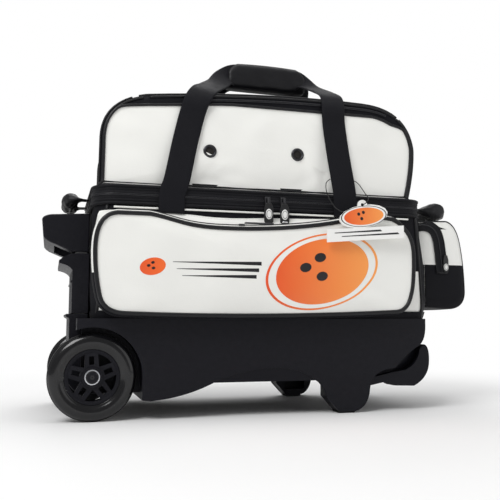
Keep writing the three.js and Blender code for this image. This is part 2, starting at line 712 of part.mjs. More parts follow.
// ---- End handles --------------------------------------------------------------------------------
// A padded tube along Y on two flat arms. `side` is -1 at the wheel end and 1 at the foot end.
function endHandle(side, root, reach, radius, half, z) {
  const tube = rodY(radius, root + side * (reach - radius), z, -half, half, 16);
  const arms = [-half + 14, half - 14].map((y) => {
    const [a, b] = [root, root + side * (reach - radius)].sort((p, q) => p - q);
    return box(a, b, y - 12, y + 12, z - 1.5, z + 1.5);
  });
  return join(tube, ...arms);
}

function endHandles() {
  piece("end_handle_wheel_end", endHandle(-1, -293.4, 42.2, 13.5, 52, 337), NYLON);
  piece("end_handle_foot_end", endHandle(1, 256, 87, 16, 76, 342), NYLON);
}

// ---- Zip sliders and pulls ----------------------------------------------------------------------
// A slider with its bridge, and its pull tab as a plate with a window for the bridge.
function slider(x, y, z) {
  const body = box(x - 4.5, x + 4.5, y, y + 4.5, z - 6, z + 6);
  const bridge = prismY([[x - 1.5, z - 4], [x + 1.5, z - 4], [x + 1.5, z + 4], [x - 1.5, z + 4]], y - 3.5, y + 1);
  return cut(join(body, bridge), box(x - 3, x + 3, y - 2, y, z - 2.5, z + 2.5));
}

function pullTab(width, length) {
  const shape = new THREE.Shape();
  const half = width / 2;
  shape.moveTo(-half * 0.6, 2);
  shape.lineTo(-half, -6);
  shape.lineTo(-half, -length + 4);
  shape.quadraticCurveTo(-half, -length, 0, -length);
  shape.quadraticCurveTo(half, -length, half, -length + 4);
  shape.lineTo(half, -6);
  shape.lineTo(half * 0.6, 2);
  return shape;
}

function zipPulls() {
  const front = -BAND.y - 5;
  [["wheel_end", -25], ["foot_end", 1]].forEach(([end, x]) => {
    piece("main_slider_" + end, slider(x, front, BAND.split), GUNMETAL);
    const tab = prismY(pullTab(15, 30), -2.4, 0).translate(x, front - 4, BAND.split - 7);
    piece("main_pull_" + end, tab, GUNMETAL);
  });
  const pocketY = POCKET_FRONT + 12;
  piece("pocket_slider", box(-76, -66, pocketY - 5, pocketY + 5, 285, 291.5), GUNMETAL);
  piece("pocket_pull", box(-65.5, -20, pocketY - 3.5, pocketY + 3.5, 292.2, 294.6), GUNMETAL);
  piece("end_pocket_slider", box(317, 326, -88.6, -END_POCKET.y - GAP, 250, 260), GUNMETAL);
  const endPull = prismY(pullTab(10, 28), -1.2, 1.2).translate(321.5, -91.2, 258);
  piece("end_pocket_pull", endPull, GUNMETAL);
}

// ---- Hang tag -----------------------------------------------------------------------------------
const TAG_Y = -182.5;
const TAG_EYE = [120, 326];
const CORD_D = 1.4;

// An oval over a long bar, cut from one thick card, with an eye for the cord.
function hangTag() {
  const oval = new THREE.Shape();
  oval.absellipse(122, 308, 42, 18, 0, Math.PI * 2, false, 0.2);
  const bar = [[60, 265], [191, 276], [191, 296], [60, 285]];
  const [back, front] = [TAG_Y - 1.5, TAG_Y + 1.5];
  const tab = rodY(8, TAG_EYE[0], TAG_EYE[1], back, front, 16);
  const whole = join(prismY(oval, back, front), prismY(bar, back, front), tab);
  return cut(whole, rodY(3, TAG_EYE[0], TAG_EYE[1], back - 1, front + 1, 12));
}

// The cord's route, from behind the strap's far edge, through the tag's eye and back round.
function cordRoute() {
  const spots = [
    [120, -141.2, 373], [128, -141, 372], [132.5, -144, 367], [134.5, -152, 358], [135, -162, 349],
    [133, -176, 341], [128.5, -186, 333.5], [122.5, -188, 327.5], [120, -185, 326], [120, -179.5, 326],
    [118.5, -177, 324], [112, -176, 318.5], [101, -175.5, 314], [90, -174, 315], [81, -168, 322],
    [76, -160, 334], [74, -151, 347], [74.5, -144.5, 358], [77, -141.2, 368], [84, -140.8, 374],
  ];
  return new THREE.CatmullRomCurve3(spots.map(([x, y, z]) => new THREE.Vector3(x, y, z)));
}

function tagCord() {
  const section = new THREE.Shape();
  section.absarc(0, 0, CORD_D / 2, 0, Math.PI * 2, false);
  return new THREE.ExtrudeGeometry(section, { steps: 34, curveSegments: 4, extrudePath: cordRoute() });
}

// ---- The whole bag ------------------------------------------------------------------------------
piece("base_tray", baseTray(), MOULDED);
frontAndRear("foot_sole", footSole(), URETHANE);
piece("lift_handle", liftHandle(), MOULDED);
wheels();
pullHandle();
softBody();
shoeCompartment();
pockets();
carryStraps();
endHandles();
zipPulls();
piece("hang_tag", hangTag(), CARD);
piece("tag_cord", tagCord(), NYLON);

// The origin lies on the ground under the middle of the bag, its front pocket included.
bag.position.y = -(POCKET_FRONT + STRAP_BACK) / 2;

export default bag;
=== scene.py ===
import math

import bmesh
import bpy
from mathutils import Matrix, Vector, noise
from mathutils.bvhtree import BVHTree


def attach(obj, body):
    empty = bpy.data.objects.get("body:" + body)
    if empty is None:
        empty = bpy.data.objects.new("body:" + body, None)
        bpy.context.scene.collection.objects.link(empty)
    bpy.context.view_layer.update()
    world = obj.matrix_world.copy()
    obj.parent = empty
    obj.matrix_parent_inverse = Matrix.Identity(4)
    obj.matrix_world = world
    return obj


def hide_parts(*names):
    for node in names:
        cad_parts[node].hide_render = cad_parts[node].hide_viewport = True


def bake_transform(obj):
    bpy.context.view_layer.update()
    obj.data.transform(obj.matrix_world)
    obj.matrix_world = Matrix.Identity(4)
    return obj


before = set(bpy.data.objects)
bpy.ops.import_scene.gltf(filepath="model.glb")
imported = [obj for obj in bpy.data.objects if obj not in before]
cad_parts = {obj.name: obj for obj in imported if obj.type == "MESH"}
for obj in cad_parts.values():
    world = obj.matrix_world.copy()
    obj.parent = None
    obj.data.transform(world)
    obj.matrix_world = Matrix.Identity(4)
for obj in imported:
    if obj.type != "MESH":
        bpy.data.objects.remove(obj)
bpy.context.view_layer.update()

# ---- Camera, floor and studio light -------------------------------------------------------------
# The bag stands on a pale studio floor. The lens is low, in front of the wheel end, and looks a
# little up. A large soft light hangs high at the left front, with fills at the right and behind.
FRONT_SHIFT = 12.15  # the bag's own Y zero lies this far from the frame's, in mm


def at(x, y, z):
    return Vector((x / 1000, (y + FRONT_SHIFT) / 1000, z / 1000))


def aimed(thing, spot, target):
    thing.location = spot
    thing.rotation_euler = (target - spot).to_track_quat("-Z", "Y").to_euler()
    bpy.context.collection.objects.link(thing)
    return thing


yaw, pitch = math.radians(15.85), math.radians(5.87)
lens_spot = Vector((-0.3477, -1.17045, 0.1427))
looking = Vector((
    math.sin(yaw) * math.cos(pitch),
    math.cos(yaw) * math.cos(pitch),
    math.sin(pitch),
))
camera = bpy.data.objects.new("camera", bpy.data.cameras.new("camera"))
camera.data.lens = 50.4
camera.data.sensor_width = 36
camera.data.clip_end = 40
aimed(camera, lens_spot, lens_spot + looking)
bpy.context.scene.camera = camera

for title, spot, size, watts in (
    ("key_light", (-1.3, -1.2, 1.9), 1.1, 33),
    ("fill_light", (1.8, -1.3, 1.0), 1.8, 8),
    ("rear_light", (0.3, 1.9, 1.7), 1.8, 22),
    ("top_light", (0.1, -0.1, 2.3), 1.6, 14),
):
    lamp = bpy.data.lights.new(title, "AREA")
    lamp.size = size
    lamp.energy = watts
    aimed(bpy.data.objects.new(title, lamp), Vector(spot), Vector((0, 0, 0.25)))

bpy.context.scene.view_settings.view_transform = "Standard"


def feed(tree, node, inputs):
    """Sets a node's inputs. Each is a plain value, or a socket that is linked to it."""
    for key, value in inputs.items():
        if isinstance(value, bpy.types.NodeSocket):
            tree.links.new(value, node.inputs[key])
        else:
            node.inputs[key].default_value = value


def put(tree, kind, inputs=None, **settings):
    made = tree.nodes.new("ShaderNode" + kind if not kind.startswith("NodeGroup") else kind)
    for key, value in settings.items():
        setattr(made, key, value)
    feed(tree, made, inputs or {})
    return made


def shader_group(name, label, value, *outputs):
    """A group that takes a place and one number, and puts out plain values."""
    group = bpy.data.node_groups.new(name, "ShaderNodeTree")
    group.interface.new_socket("Vector", in_out="INPUT", socket_type="NodeSocketVector")
    group.interface.new_socket(label, in_out="INPUT", socket_type="NodeSocketFloat").default_value = value
    for output in outputs:
        group.interface.new_socket(output, in_out="OUTPUT", socket_type="NodeSocketFloat")
    place, number = put(group, "NodeGroupInput").outputs[:2]
    return group, put(group, "NodeGroupOutput"), place, number


# The paper behind the bag looks white, and lights it more softly than it looks.
world = bpy.data.worlds.new("studio")
world.use_nodes = True
seen = put(world.node_tree, "LightPath").outputs["Is Camera Ray"]
strength = put(world.node_tree, "MapRange", {"Value": seen, "To Min": 0.3, "To Max": 1.0})
feed(world.node_tree, world.node_tree.nodes["Background"], {
    "Color": (1, 1, 1, 1), "Strength": strength.outputs["Result"],
})
bpy.context.scene.world = world


def sum_of(tree, operation, a, b=0.5, clamp=False):
    return put(tree, "Math", {0: a, 1: b}, operation=operation, use_clamp=clamp).outputs[0]


def ranged(tree, value, low, high):
    return put(tree, "MapRange", {"Value": value, "To Min": low, "To Max": high}).outputs["Result"]


def mixed(tree, share, low, high):
    """A colour between two, each a socket or three numbers."""
    low, high = (c if isinstance(c, bpy.types.NodeSocket) else (*c, 1) for c in (low, high))
    return put(tree, "Mix", {0: share, 6: low, 7: high}, data_type="RGBA").outputs[2]


# Large soft patches, where a surface is a shade lighter or darker.
patches, result, place, number = shader_group("Uneven tone", "Size", 20.0, "Tone")
cloud = put(patches, "TexNoise", {"Vector": place, "Scale": number, "Detail": 3.0})
feed(patches, result, {"Tone": cloud.outputs["Fac"]})

# Fine pebbled grain, as on coated leather or on a moulded, spark-eroded surface.
grain, result, place, number = shader_group("Pebbled grain", "Cells", 900.0, "Height")
cells = put(grain, "TexVoronoi", {"Vector": place, "Scale": number}).outputs["Distance"]
finer = sum_of(grain, "MULTIPLY", number, 0.35)
ripple = put(grain, "TexNoise", {"Vector": place, "Scale": finer, "Detail": 4.0}).outputs["Fac"]
feed(grain, result, {"Height": sum_of(grain, "ADD", sum_of(grain, "MULTIPLY", cells, 0.6), ripple)})

# Plain weave: crossed threads, a set number to the metre.
weave, result, place, number = shader_group("Plain weave", "Threads", 900.0, "Height", "Thread")
parted = put(weave, "SeparateXYZ", {0: place}).outputs
turns = sum_of(weave, "MULTIPLY", number, math.pi)
level = sum_of(weave, "ADD", parted["X"], parted["Y"])
warp, weft = (
    sum_of(weave, "SINE", sum_of(weave, "MULTIPLY", way, turns), 0.0) for way in (level, parted["Z"])
)
crossed = sum_of(weave, "MULTIPLY", warp, weft)
feed(weave, result, {
    "Height": sum_of(weave, "MULTIPLY_ADD", crossed, 0.5), "Thread": sum_of(weave, "ABSOLUTE", crossed, 0.0),
})

# Wear on raised edges, which also serves as a painted highlight there, broken up so that it is not an even line.
wear_and_highlight, result, place, number = shader_group("Edge wear", "Amount", 0.5, "Mask")
raised = put(wear_and_highlight, "NewGeometry").outputs["Pointiness"]
sharp = put(wear_and_highlight, "MapRange", {"Value": raised, "From Min": 0.505, "From Max": 0.58}).outputs["Result"]
rubbed = put(wear_and_highlight, "TexNoise", {"Vector": place, "Scale": 120.0, "Detail": 5.0}).outputs["Fac"]
# The mask lightens raised edges: partly rubbed wear, partly a painted highlight.
broken = sum_of(wear_and_highlight, "MULTIPLY", sharp, rubbed, True)
feed(wear_and_highlight, result, {"Mask": sum_of(wear_and_highlight, "MULTIPLY", broken, number, True)})


def blank(name):
    """A new material, its node tree and its Principled shader."""
    made = bpy.data.materials.new(name)
    made.use_nodes = True
    return made, made.node_tree, made.node_tree.nodes["Principled BSDF"]


def coated(name, colour, rough, pattern, density, depth, worn_and_highlit=None, tone=0.1, patch=14.0, **constant):
    """A finish: its colour with soft patches and lighter raised edges (partly rubbed wear, partly a painted
    highlight), and a grain or a weave as its relief.
    """
    made, tree, shader = blank(name)
    place = put(tree, "TexCoord").outputs["Object"]
    uneven = put(tree, "Group", {"Vector": place, "Size": patch}, node_tree=patches).outputs["Tone"]
    body = mixed(tree, uneven, [c * (1 - tone) for c in colour], colour)
    # Raised edges take a lighter colour: partly rubbed wear, partly a painted highlight.
    if worn_and_highlit:
        edge = put(tree, "Group", {"Vector": place}, node_tree=wear_and_highlight)
        body = mixed(tree, edge.outputs["Mask"], body, worn_and_highlit)
    relief = put(tree, "Group", {"Vector": place, 1: density}, node_tree=pattern)
    bump = put(tree, "Bump", {"Height": relief.outputs["Height"], "Strength": depth, "Distance": 0.0006})
    feed(tree, shader, {
        "Base Color": body, "Roughness": ranged(tree, uneven, rough * 0.85, min(1, rough * 1.15)),
        "Normal": bump.outputs["Normal"],
    })
    for key, value in constant.items():
        shader.inputs[key.replace("_", " ").title().replace("Ior", "IOR")].default_value = value
    return made


floor_finish = coated("studio_paper", (0.93, 0.93, 0.93), 0.9, grain, 300.0, 0.05, tone=0.0)
tree = floor_finish.node_tree
spread = put(tree, "VectorMath", {0: put(tree, "TexCoord").outputs["Object"]}, operation="LENGTH")
far_off = put(
    tree, "MapRange", {"Value": spread.outputs["Value"], "From Min": 0.35, "From Max": 1.1},
    interpolation_type="SMOOTHSTEP",
)
glow = put(tree, "Emission", {"Color": (1, 1, 1, 1), "Strength": 1.0})
paper = put(tree, "MixShader", {0: far_off.outputs["Result"]})
tree.links.new(tree.nodes["Principled BSDF"].outputs[0], paper.inputs[1])
tree.links.new(glow.outputs[0], paper.inputs[2])
tree.links.new(paper.outputs[0], tree.nodes["Material Output"].inputs["Surface"])
bpy.ops.mesh.primitive_plane_add(size=24, location=(0, 0, 0))
floor = bpy.context.object
floor.name = "studio_floor"
floor.data.materials.append(floor_finish)

# ---- Hang tag and its cord ----------------------------------------------------------------------
# A round elastic cord goes behind the front strap's foot-end leg and through the eye of a card tag.
# The tag is thick laminated card: an oval over a long bar, with a plain printed ball.
CORD_D = 1.4
cord_spots = (
    (120, -141.2, 373), (128, -141, 372), (132.5, -144, 367), (134.5, -152, 358), (135, -162, 349),
    (133, -176, 341), (128.5, -186, 333.5), (122.5, -188, 327.5), (120, -185, 326),
    (120, -179.5, 326), (118.5, -177, 324), (112, -176, 318.5), (101, -175.5, 314),
    (90, -174, 315), (81, -168, 322), (76, -160, 334), (74, -151, 347), (74.5, -144.5, 358),
    (77, -141.2, 368), (84, -140.8, 374),
)


def surface(thing):
    """The piece's skin, for lines to be cast on."""
    return BVHTree.FromObject(thing, bpy.context.evaluated_depsgraph_get())


def struck(ground, x, z, y=-400):
    """Where a line from the front at (x, z) meets a surface, if it does."""
    return ground.ray_cast(at(x, y, z), Vector((0, 1, 0)))[0]


def rough_at(x, y, z):
    """Smooth, repeatable unevenness at a place, from about -1 to 1."""
    return noise.noise(Vector((x, y, z)))


def smooth_line(points, steps):
    """A curve through the points, evenly eased (a centripetal spline)."""
    spots = [2 * points[0] - points[1], *points, 2 * points[-1] - points[-2]]
    line = []
    for a, b, c, d in zip(spots, spots[1:], spots[2:], spots[3:]):
        ta = 0.0
        tb = ta + math.sqrt((b - a).length)
        tc = tb + math.sqrt((c - b).length)
        td = tc + math.sqrt((d - c).length)
        for k in range(steps):
            t = tb + (tc - tb) * k / steps
            ab = a.lerp(b, (t - ta) / (tb - ta))
            bc = b.lerp(c, (t - tb) / (tc - tb))
            cd = c.lerp(d, (t - tc) / (td - tc))
            abc = ab.lerp(bc, (t - ta) / (tc - ta))
            bcd = bc.lerp(cd, (t - tb) / (td - tb))
            line.append(abc.lerp(bcd, (t - tb) / (tc - tb)))
    return [*line, points[-1].copy()]


cord_line = smooth_line([at(*spot) for spot in cord_spots], 6)
cord_curve = bpy.data.curves.new("tag_elastic", "CURVE")
cord_curve.dimensions = "3D"
cord_curve.bevel_depth = CORD_D / 2000
cord_curve.bevel_resolution = 3
cord_curve.use_fill_caps = True
strand = cord_curve.splines.new("POLY")
strand.points.add(len(cord_line) - 1)
for point, spot in zip(strand.points, cord_line):
    point.co = (*spot, 1)
tag_elastic = bpy.data.objects.new("tag_elastic", cord_curve)
bpy.context.collection.objects.link(tag_elastic)
elastic_finish = coated("braided_elastic", (0.012, 0.012, 0.012), 0.7, weave, 1500.0, 0.5)
cord_curve.materials.append(elastic_finish)
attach(tag_elastic, "tag")
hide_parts("tag_cord")


def bands(count, rows, closed=False):
    """The faces between rows of `count` points, each row a ring."""
    return [
        (k * count + i, k * count + (i + 1) % count,
         (k + 1) % rows * count + (i + 1) % count, (k + 1) % rows * count + i)
        for k in range(rows if closed else rows - 1) for i in range(count)
    ]


def fan(count, rows):
    """The faces from the last ring to one point after it."""
    return [((rows - 1) * count + i, (rows - 1) * count + (i + 1) % count, rows * count) for i in range(count)]


def both_ends(count, rows):
    return [tuple(range(count)), tuple((rows - 1) * count + i for i in reversed(range(count)))]


def shaped(name, verts, faces, finish, body="bag", slot="black_nylon", stands_for=()):
    """A piece from its points and faces, riding on its body."""
    mesh = bpy.data.meshes.new(name)
    mesh.from_pydata([tuple(v) for v in verts], [], faces)
    shell = bmesh.new()
    shell.from_mesh(mesh)
    bmesh.ops.recalc_face_normals(shell, faces=shell.faces)
    shell.to_mesh(mesh)
    shell.free()
    mesh.materials.append(finish)
    mesh.shade_smooth()
    made = bpy.data.objects.new(name, mesh)
    bpy.context.collection.objects.link(made)
    if body:
        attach(made, body)
    if stands_for:
        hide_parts(*stands_for)
    return made


def softened(node, name, finish, body, width=0.8, sharp=40, segments=2):
    """A moulded piece: the CAD shape with its edges rounded as a mould leaves them."""
    mesh = bpy.data.objects[node].data.copy()
    mesh.name = name
    shell = bmesh.new()
    shell.from_mesh(mesh)
    bmesh.ops.remove_doubles(shell, verts=shell.verts, dist=1e-5)
    bmesh.ops.dissolve_limit(shell, angle_limit=math.radians(2), verts=shell.verts, edges=shell.edges)
    edges = [
        e for e in shell.edges
        if len(e.link_faces) == 2 and e.calc_face_angle(0) > math.radians(sharp)
    ]
    bmesh.ops.bevel(
        shell, geom=edges, offset=width / 1000, segments=segments, profile=0.5, affect="EDGES", clamp_overlap=True
    )
    shell.to_mesh(mesh)
    shell.free()
    mesh.materials.clear()
    mesh.materials.append(finish)
    mesh.shade_smooth()
    mesh.set_sharp_from_angle(angle=math.radians(32))
    made = bpy.data.objects.new(name, mesh)
    bpy.context.collection.objects.link(made)
    keep = made.modifiers.new("flat faces", "WEIGHTED_NORMAL")
    keep.keep_sharp = True
    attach(made, body)
    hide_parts(node)
    return made


card_finish = coated("laminated_card", (0.88, 0.88, 0.86), 0.28, grain, 300.0, 0.05, tone=0.03)
tag_card = bpy.data.objects["hang_tag"]
tag_card.data.materials.clear()
tag_card.data.materials.append(card_finish)


def ink(name, low, high, across):
    """Printed ink whose colour runs from one end of the motif to the other."""
    made, tree, shader = blank(name)
    place = put(tree, "TexCoord").outputs["Object"]
    along = put(tree, "SeparateXYZ", {0: place}).outputs["X"]
    near, far = (x / 1000 for x in across)
    share = put(tree, "MapRange", {"Value": along, "From Min": near, "From Max": far}).outputs["Result"]
    rough = put(tree, "TexNoise", {"Vector": place, "Scale": 700.0}).outputs["Fac"]
    feed(tree, shader, {"Base Color": mixed(tree, share, low, high), "Roughness": ranged(tree, rough, 0.3, 0.42)})
    return made


DEEP_ORANGE, PALE_ORANGE, INK_BLACK = (0.80, 0.085, 0.012), (0.95, 0.36, 0.08), (0.008, 0.008, 0.01)
tag_orange = ink("tag_orange_ink", DEEP_ORANGE, PALE_ORANGE, (84, 164))
black_ink = ink("black_ink", INK_BLACK, INK_BLACK, (0, 1))


def printed(name, outline, holes_out, finish, body, slot, y, ground=None, lift=0.12):
    """A printed shape: a thin skin of ink on a flat face at y, or draped on the surface `ground`."""
    count = len(outline)
    middle_x = sum(p[0] for p in outline) / count
    middle_z = sum(p[1] for p in outline) / count
    scales = [1, 0.85, 0.7, 0.55, 0.4, 0.25, 0.1]
    if holes_out:
        scales = [1 - (1 - holes_out) * k / 4 for k in range(5)]
    verts = []
    for s in scales:
        for x, z in outline:
            px, pz = middle_x + (x - middle_x) * s, middle_z + (z - middle_z) * s
            spot = at(px, y - lift, pz)
            if ground:
                hit = struck(ground, px, pz)
                if hit:
                    spot = hit - Vector((0, lift / 1000, 0))
            verts.append(spot)
    faces = bands(count, len(scales))
    if not holes_out:
        faces.append(tuple((len(scales) - 1) * count + i for i in range(count)))
    return shaped(name, verts, faces, finish, body, slot)


def ellipse(x, z, rx, rz, tilt=0.0, count=48):
    c, s = math.cos(math.radians(tilt)), math.sin(math.radians(tilt))
    spots = []
    for i in range(count):
        a = 2 * math.pi * i / count
        u, v = rx * math.cos(a), rz * math.sin(a)
        spots.append((x + u * c - v * s, z + u * s + v * c))
    return spots


TAG_FACE = -184
printed("tag_ball", ellipse(122, 308, 34, 13.5, 8), 0, tag_orange, "tag", "tag_card", TAG_FACE)
printed("tag_ring", ellipse(122, 308, 39.5, 16.4, 8), 0.955, black_ink, "tag", "tag_card", TAG_FACE)
for number, (x, z) in enumerate(((113, 311), (121, 314), (118, 304))):
    printed(f"tag_hole_{number}", ellipse(x, z, 2.6, 2.6, 0, 20), 0, black_ink, "tag", "tag_card", TAG_FACE, lift=0.3)
for number, (x0, x1, drop) in enumerate(((72, 150, 0), (84, 180, -6))):
    base = 278 + drop + (x0 - 60) * 0.084
    rise = (x1 - x0) * 0.084
    bar = [(x0, base + 1.2), (x1, base + rise + 2.4), (x1 + 3, base + rise), (x1, base + rise - 0.6), (x0, base)]
    printed(f"tag_stripe_{number}", bar, 0, black_ink, "tag", "tag_card", TAG_FACE)

# ---- Moulded base -------------------------------------------------------------------------------
# One injection-moulded tub of black polypropylene with a wheel arch, a foot and a raised far end.
# The lifting loop is its own moulding, and rubber soles are pressed into the two feet.
# Its lighter edge colour is partly rubbed wear and partly a painted highlight on the moulded edges.
moulded_finish = coated(
    "moulded_polypropylene", (0.0062, 0.0062, 0.0095), 0.44, grain, 1300.0, 0.35,
    worn_and_highlit=(0.02, 0.02, 0.025), tone=0.2, patch=9.0, specular_ior_level=0.16,
)
rubber_finish = coated("sole_rubber", (0.01, 0.01, 0.011), 0.8, grain, 900.0, 0.5)
softened("base_tray", "base_tray_moulding", moulded_finish, "bag", 1.2)
softened("lift_handle", "lift_handle_moulding", moulded_finish, "bag", 3.0, 50, 4)
BOTH_FACES = ((-1, "front"), (1, "rear"))
recess = smooth_line([Vector(spot) for spot in (
    (152, 53), (172, 51), (204, 58), (232, 74), (246, 103), (237, 108), (219, 96), (196, 74), (174, 65), (152, 60),
)], 5)
for y_side, word in BOTH_FACES:
    verts = [at(p.x, y_side * y, p.y) for y in (125, 122) for p in recess]
    span = len(recess)
    faces = both_ends(span, 2) + bands(span, 2)
    shaped(f"{word}_lift_recess", verts, faces, moulded_finish, "bag", "moulded_plastic")
for side in ("front", "rear"):
    softened(f"{side}_foot_sole", f"{side}_foot_sole_rubber", rubber_finish, "bag", 0.4)

# ---- Wheels -------------------------------------------------------------------------------------
# Skate-type wheels: glossy urethane tyres cast on spoked nylon rims, with sealed ball bearings on
# a through bolt. The round shoulders shine, and the tread in the middle is rubbed dull.
AXLE = (-287.5, 63.5)
urethane_finish = coated(
    "cast_urethane", (0.0055, 0.0055, 0.0065), 0.2, grain, 500.0, 0.03, tone=0.25,
    coat_weight=0.35, coat_roughness=0.06, specular_ior_level=0.3,
)
tread_finish = coated("worn_tread", (0.014, 0.014, 0.015), 0.42, grain, 700.0, 0.25, tone=0.3, patch=40.0)
bearing_finish = coated(
    "ground_steel", (0.62, 0.63, 0.66), 0.28, grain, 1500.0, 0.06, tone=0.12, patch=90.0, metallic=1.0
)
seal_finish = coated("bearing_seal", (0.01, 0.01, 0.011), 0.5, grain, 900.0, 0.2)
gunmetal_finish = coated(
    "dark_plated_zinc", (0.05, 0.05, 0.055), 0.3, grain, 900.0, 0.08, worn_and_highlit=(0.3, 0.3, 0.31),
    tone=0.25, patch=60.0, metallic=1.0,
)


def turned(name, profile, x, z, finish, body, slot, stands_for=(), segments=96, mirror=False):
    """A ring turned about a Y axis through (x, z), from a closed profile of (radius, y)."""
    verts, count = [], len(profile)
    for k in range(segments):
        a = 2 * math.pi * k / segments
        for r, y in profile:
            verts.append(at(x + r * math.cos(a), -y if mirror else y, z + r * math.sin(a)))
    made = shaped(name, verts, bands(count, segments, True), finish, body, slot, stands_for)
    made.data.set_sharp_from_angle(angle=math.radians(38))
    return made


def arc(r, y, radius, start, end, steps=6):
    """Points of a round corner of a profile, about (r, y)."""
    angles = (math.radians(start + (end - start) * k / steps) for k in range(steps + 1))
    return [(r + radius * math.cos(a), y + radius * math.sin(a)) for a in angles]


def on_axle(side, word, profile, finish, body, slot, node="", segments=64):
    """A ring of the wheel on that side, in place of a CAD node if one is named."""
    stands_for = [f"{side}_{node}"] if node else ()
    turned(f"{side}_{word}", profile, *AXLE, finish, body, slot, stands_for, segments, side == "rear")


WHEEL_MID, HALF_WIDTH, WHEEL_RADIUS = -130, 15, 63.5
shoulder = [
    (radius, HALF_WIDTH - drop) for radius, drop in (
        (39.8, 4), (41.2, 3.1), (42.0, 3.0), (43.6, 1.9), (46.5, 0.6), (50, 0), (53.5, 0.3), (56.5, 1.3),
        (59.2, 3.1), (61.2, 5.3), (62.4, 7.8),
    )
]
around = [(62.9, 7.0), (63.25, 4.6), (63.45, 2.3), (63.5, 0), (63.45, -2.3), (63.25, -4.6), (62.9, -7.0)]
tyre = [*shoulder, *around, *[(r, -y) for r, y in reversed(shoulder)]]
tread = [(62.6, 7.6), (63.35, 6.2), (63.62, 3), (63.7, 0), (63.62, -3), (63.35, -6.2), (62.6, -7.6), (62, 0)]
outer, inner = (
    [(r0, -142.1), (r0 + 0.5, -142.5), *arc(r1 - 0.6, -141.9, 0.6, 270, 360, 4), (r1, -134.5), (r0, -134.5)]
    for r0, r1 in ((8.9, 11.3), (5.4, 8.5))
)
seal = [(8.2, -141.6), (9.2, -141.6), (9.2, -141.0), (8.2, -141.0)]
key = [(1.2, -144.9), (3.4, -145), (3.4, -144.3), (1.2, -144.3)]
for side in ("front", "rear"):
    wheel = f"{side}_wheel"
    placed = [(r, WHEEL_MID + y) for r, y in tyre]
    on_axle(side, "tyre", placed, urethane_finish, wheel, "wheel_urethane", "wheel_tyre", 128)
    placed = [(min(r, WHEEL_RADIUS), WHEEL_MID + y) for r, y in tread]
    on_axle(side, "tread", placed, tread_finish, wheel, "wheel_urethane", segments=128)
    softened(f"{side}_wheel_rim", f"{side}_rim_moulding", moulded_finish, wheel, 0.9, 40, 3)
    on_axle(side, "bearing_race", outer, bearing_finish, wheel, "bearing_steel", "wheel_bearing_outer")
    on_axle(side, "bearing_core", inner, seal_finish, "bag", "bearing_steel", "wheel_bearing_inner")
    on_axle(side, "bearing_seal", seal, seal_finish, wheel, "bearing_steel")
    softened(f"{side}_axle_bolt", f"{side}_axle_bolt_head", moulded_finish, "bag", 0.5, 40, 2)
    on_axle(side, "bolt_socket", key, seal_finish, "bag", "zip_metal", segments=6)

# ---- Pull handle --------------------------------------------------------------------------------
# Three-stage telescoping steel tubes run in a moulded bracket and housing on the wheel end. The
# grip is a moulded U with a release button in its bar.
tube_finish = coated(
    "drawn_steel_tube", (0.3, 0.3, 0.32), 0.3, grain, 1200.0, 0.06, worn_and_highlit=(0.55, 0.55, 0.56),
    tone=0.12, patch=30.0, metallic=1.0,
)
outer_tube_finish = coated(
    "black_lacquered_tube", (0.02, 0.02, 0.022), 0.35, grain, 1200.0, 0.1, worn_and_highlit=(0.2, 0.2, 0.2), tone=0.2
)
softened("handle_housing", "handle_housing_moulding", moulded_finish, "bag", 2.0, 35, 3)
softened("handle_foot_bracket", "handle_bracket_moulding", moulded_finish, "bag", 1.2)
softened("pull_grip", "pull_grip_moulding", moulded_finish, "pull_handle", 2.2, 35, 3)
softened("release_button", "release_button_moulding", moulded_finish, "button", 1.0, 35, 3)
for side in ("front", "rear"):
    for stage, body, finish in (
        ("outer_tube", "bag", outer_tube_finish), ("lower_stage", "lower_stage", tube_finish),
        ("middle_stage", "middle_stage", tube_finish), ("upper_stage", "pull_handle", tube_finish),
    ):
        node_name = f"{side}_handle_{stage}"
        softened(node_name, node_name + "_tube", finish, body, 0.7, 40, 2)


CURVE_STEPS = 10


def drawn(start, *moves):
    """An outline from lines (x, z), curves (cx, cz, x, z) and double curves (two handles, end)."""
    line = [Vector(start)]
    for move in moves:
        a = line[-1]
        spots = [Vector(move[k:k + 2]) for k in range(0, len(move), 2)]
        if len(spots) == 1:
            line.append(spots[0])
            continue
        for k in range(1, CURVE_STEPS + 1):
            t = k / CURVE_STEPS
            row = [a, *spots]
            while len(row) > 1:
                row = [p.lerp(q, t) for p, q in zip(row, row[1:])]
            line.append(row[0])
    return line


def evened(line, count, closed=True):
    """The same line with its points the same distance apart."""
    spots = [*line, line[0]] if closed else list(line)
    lengths = [0.0]
    for a, b in zip(spots, spots[1:]):
        lengths.append(lengths[-1] + (b - a).length)
    out, k = [], 0
    for i in range(count):
        want = lengths[-1] * i / (count if closed else count - 1)
        while k < len(lengths) - 2 and lengths[k + 1] < want:
            k += 1
        span = lengths[k + 1] - lengths[k]
        out.append(spots[k].lerp(spots[k + 1], (want - lengths[k]) / span if span else 0))
    return out


def outward(line, i):
    """The way out of a closed outline at point i."""
    along = (line[(i + 1) % len(line)] - line[i - 1]).normalized()
    return Vector((along.y, -along.x))


def anticlockwise(line):
    area = sum(a.x * b.y - b.x * a.y for a, b in zip(line, [*line[1:], line[0]]))
    return line if area > 0 else line[::-1]


def pulled_in(line, depth):
    """The outline moved inwards, by a depth or by a function of each point."""
    out = []
    for i, p in enumerate(line):
        d = depth(p) if callable(depth) else depth
        out.append(p - outward(line, i) * d)
    return out


def edge_at(line, y, inset):
    """The outline moved inwards by `inset` and set at a depth y."""
    return [at(p.x, y, p.y) for p in pulled_in(line, inset)]


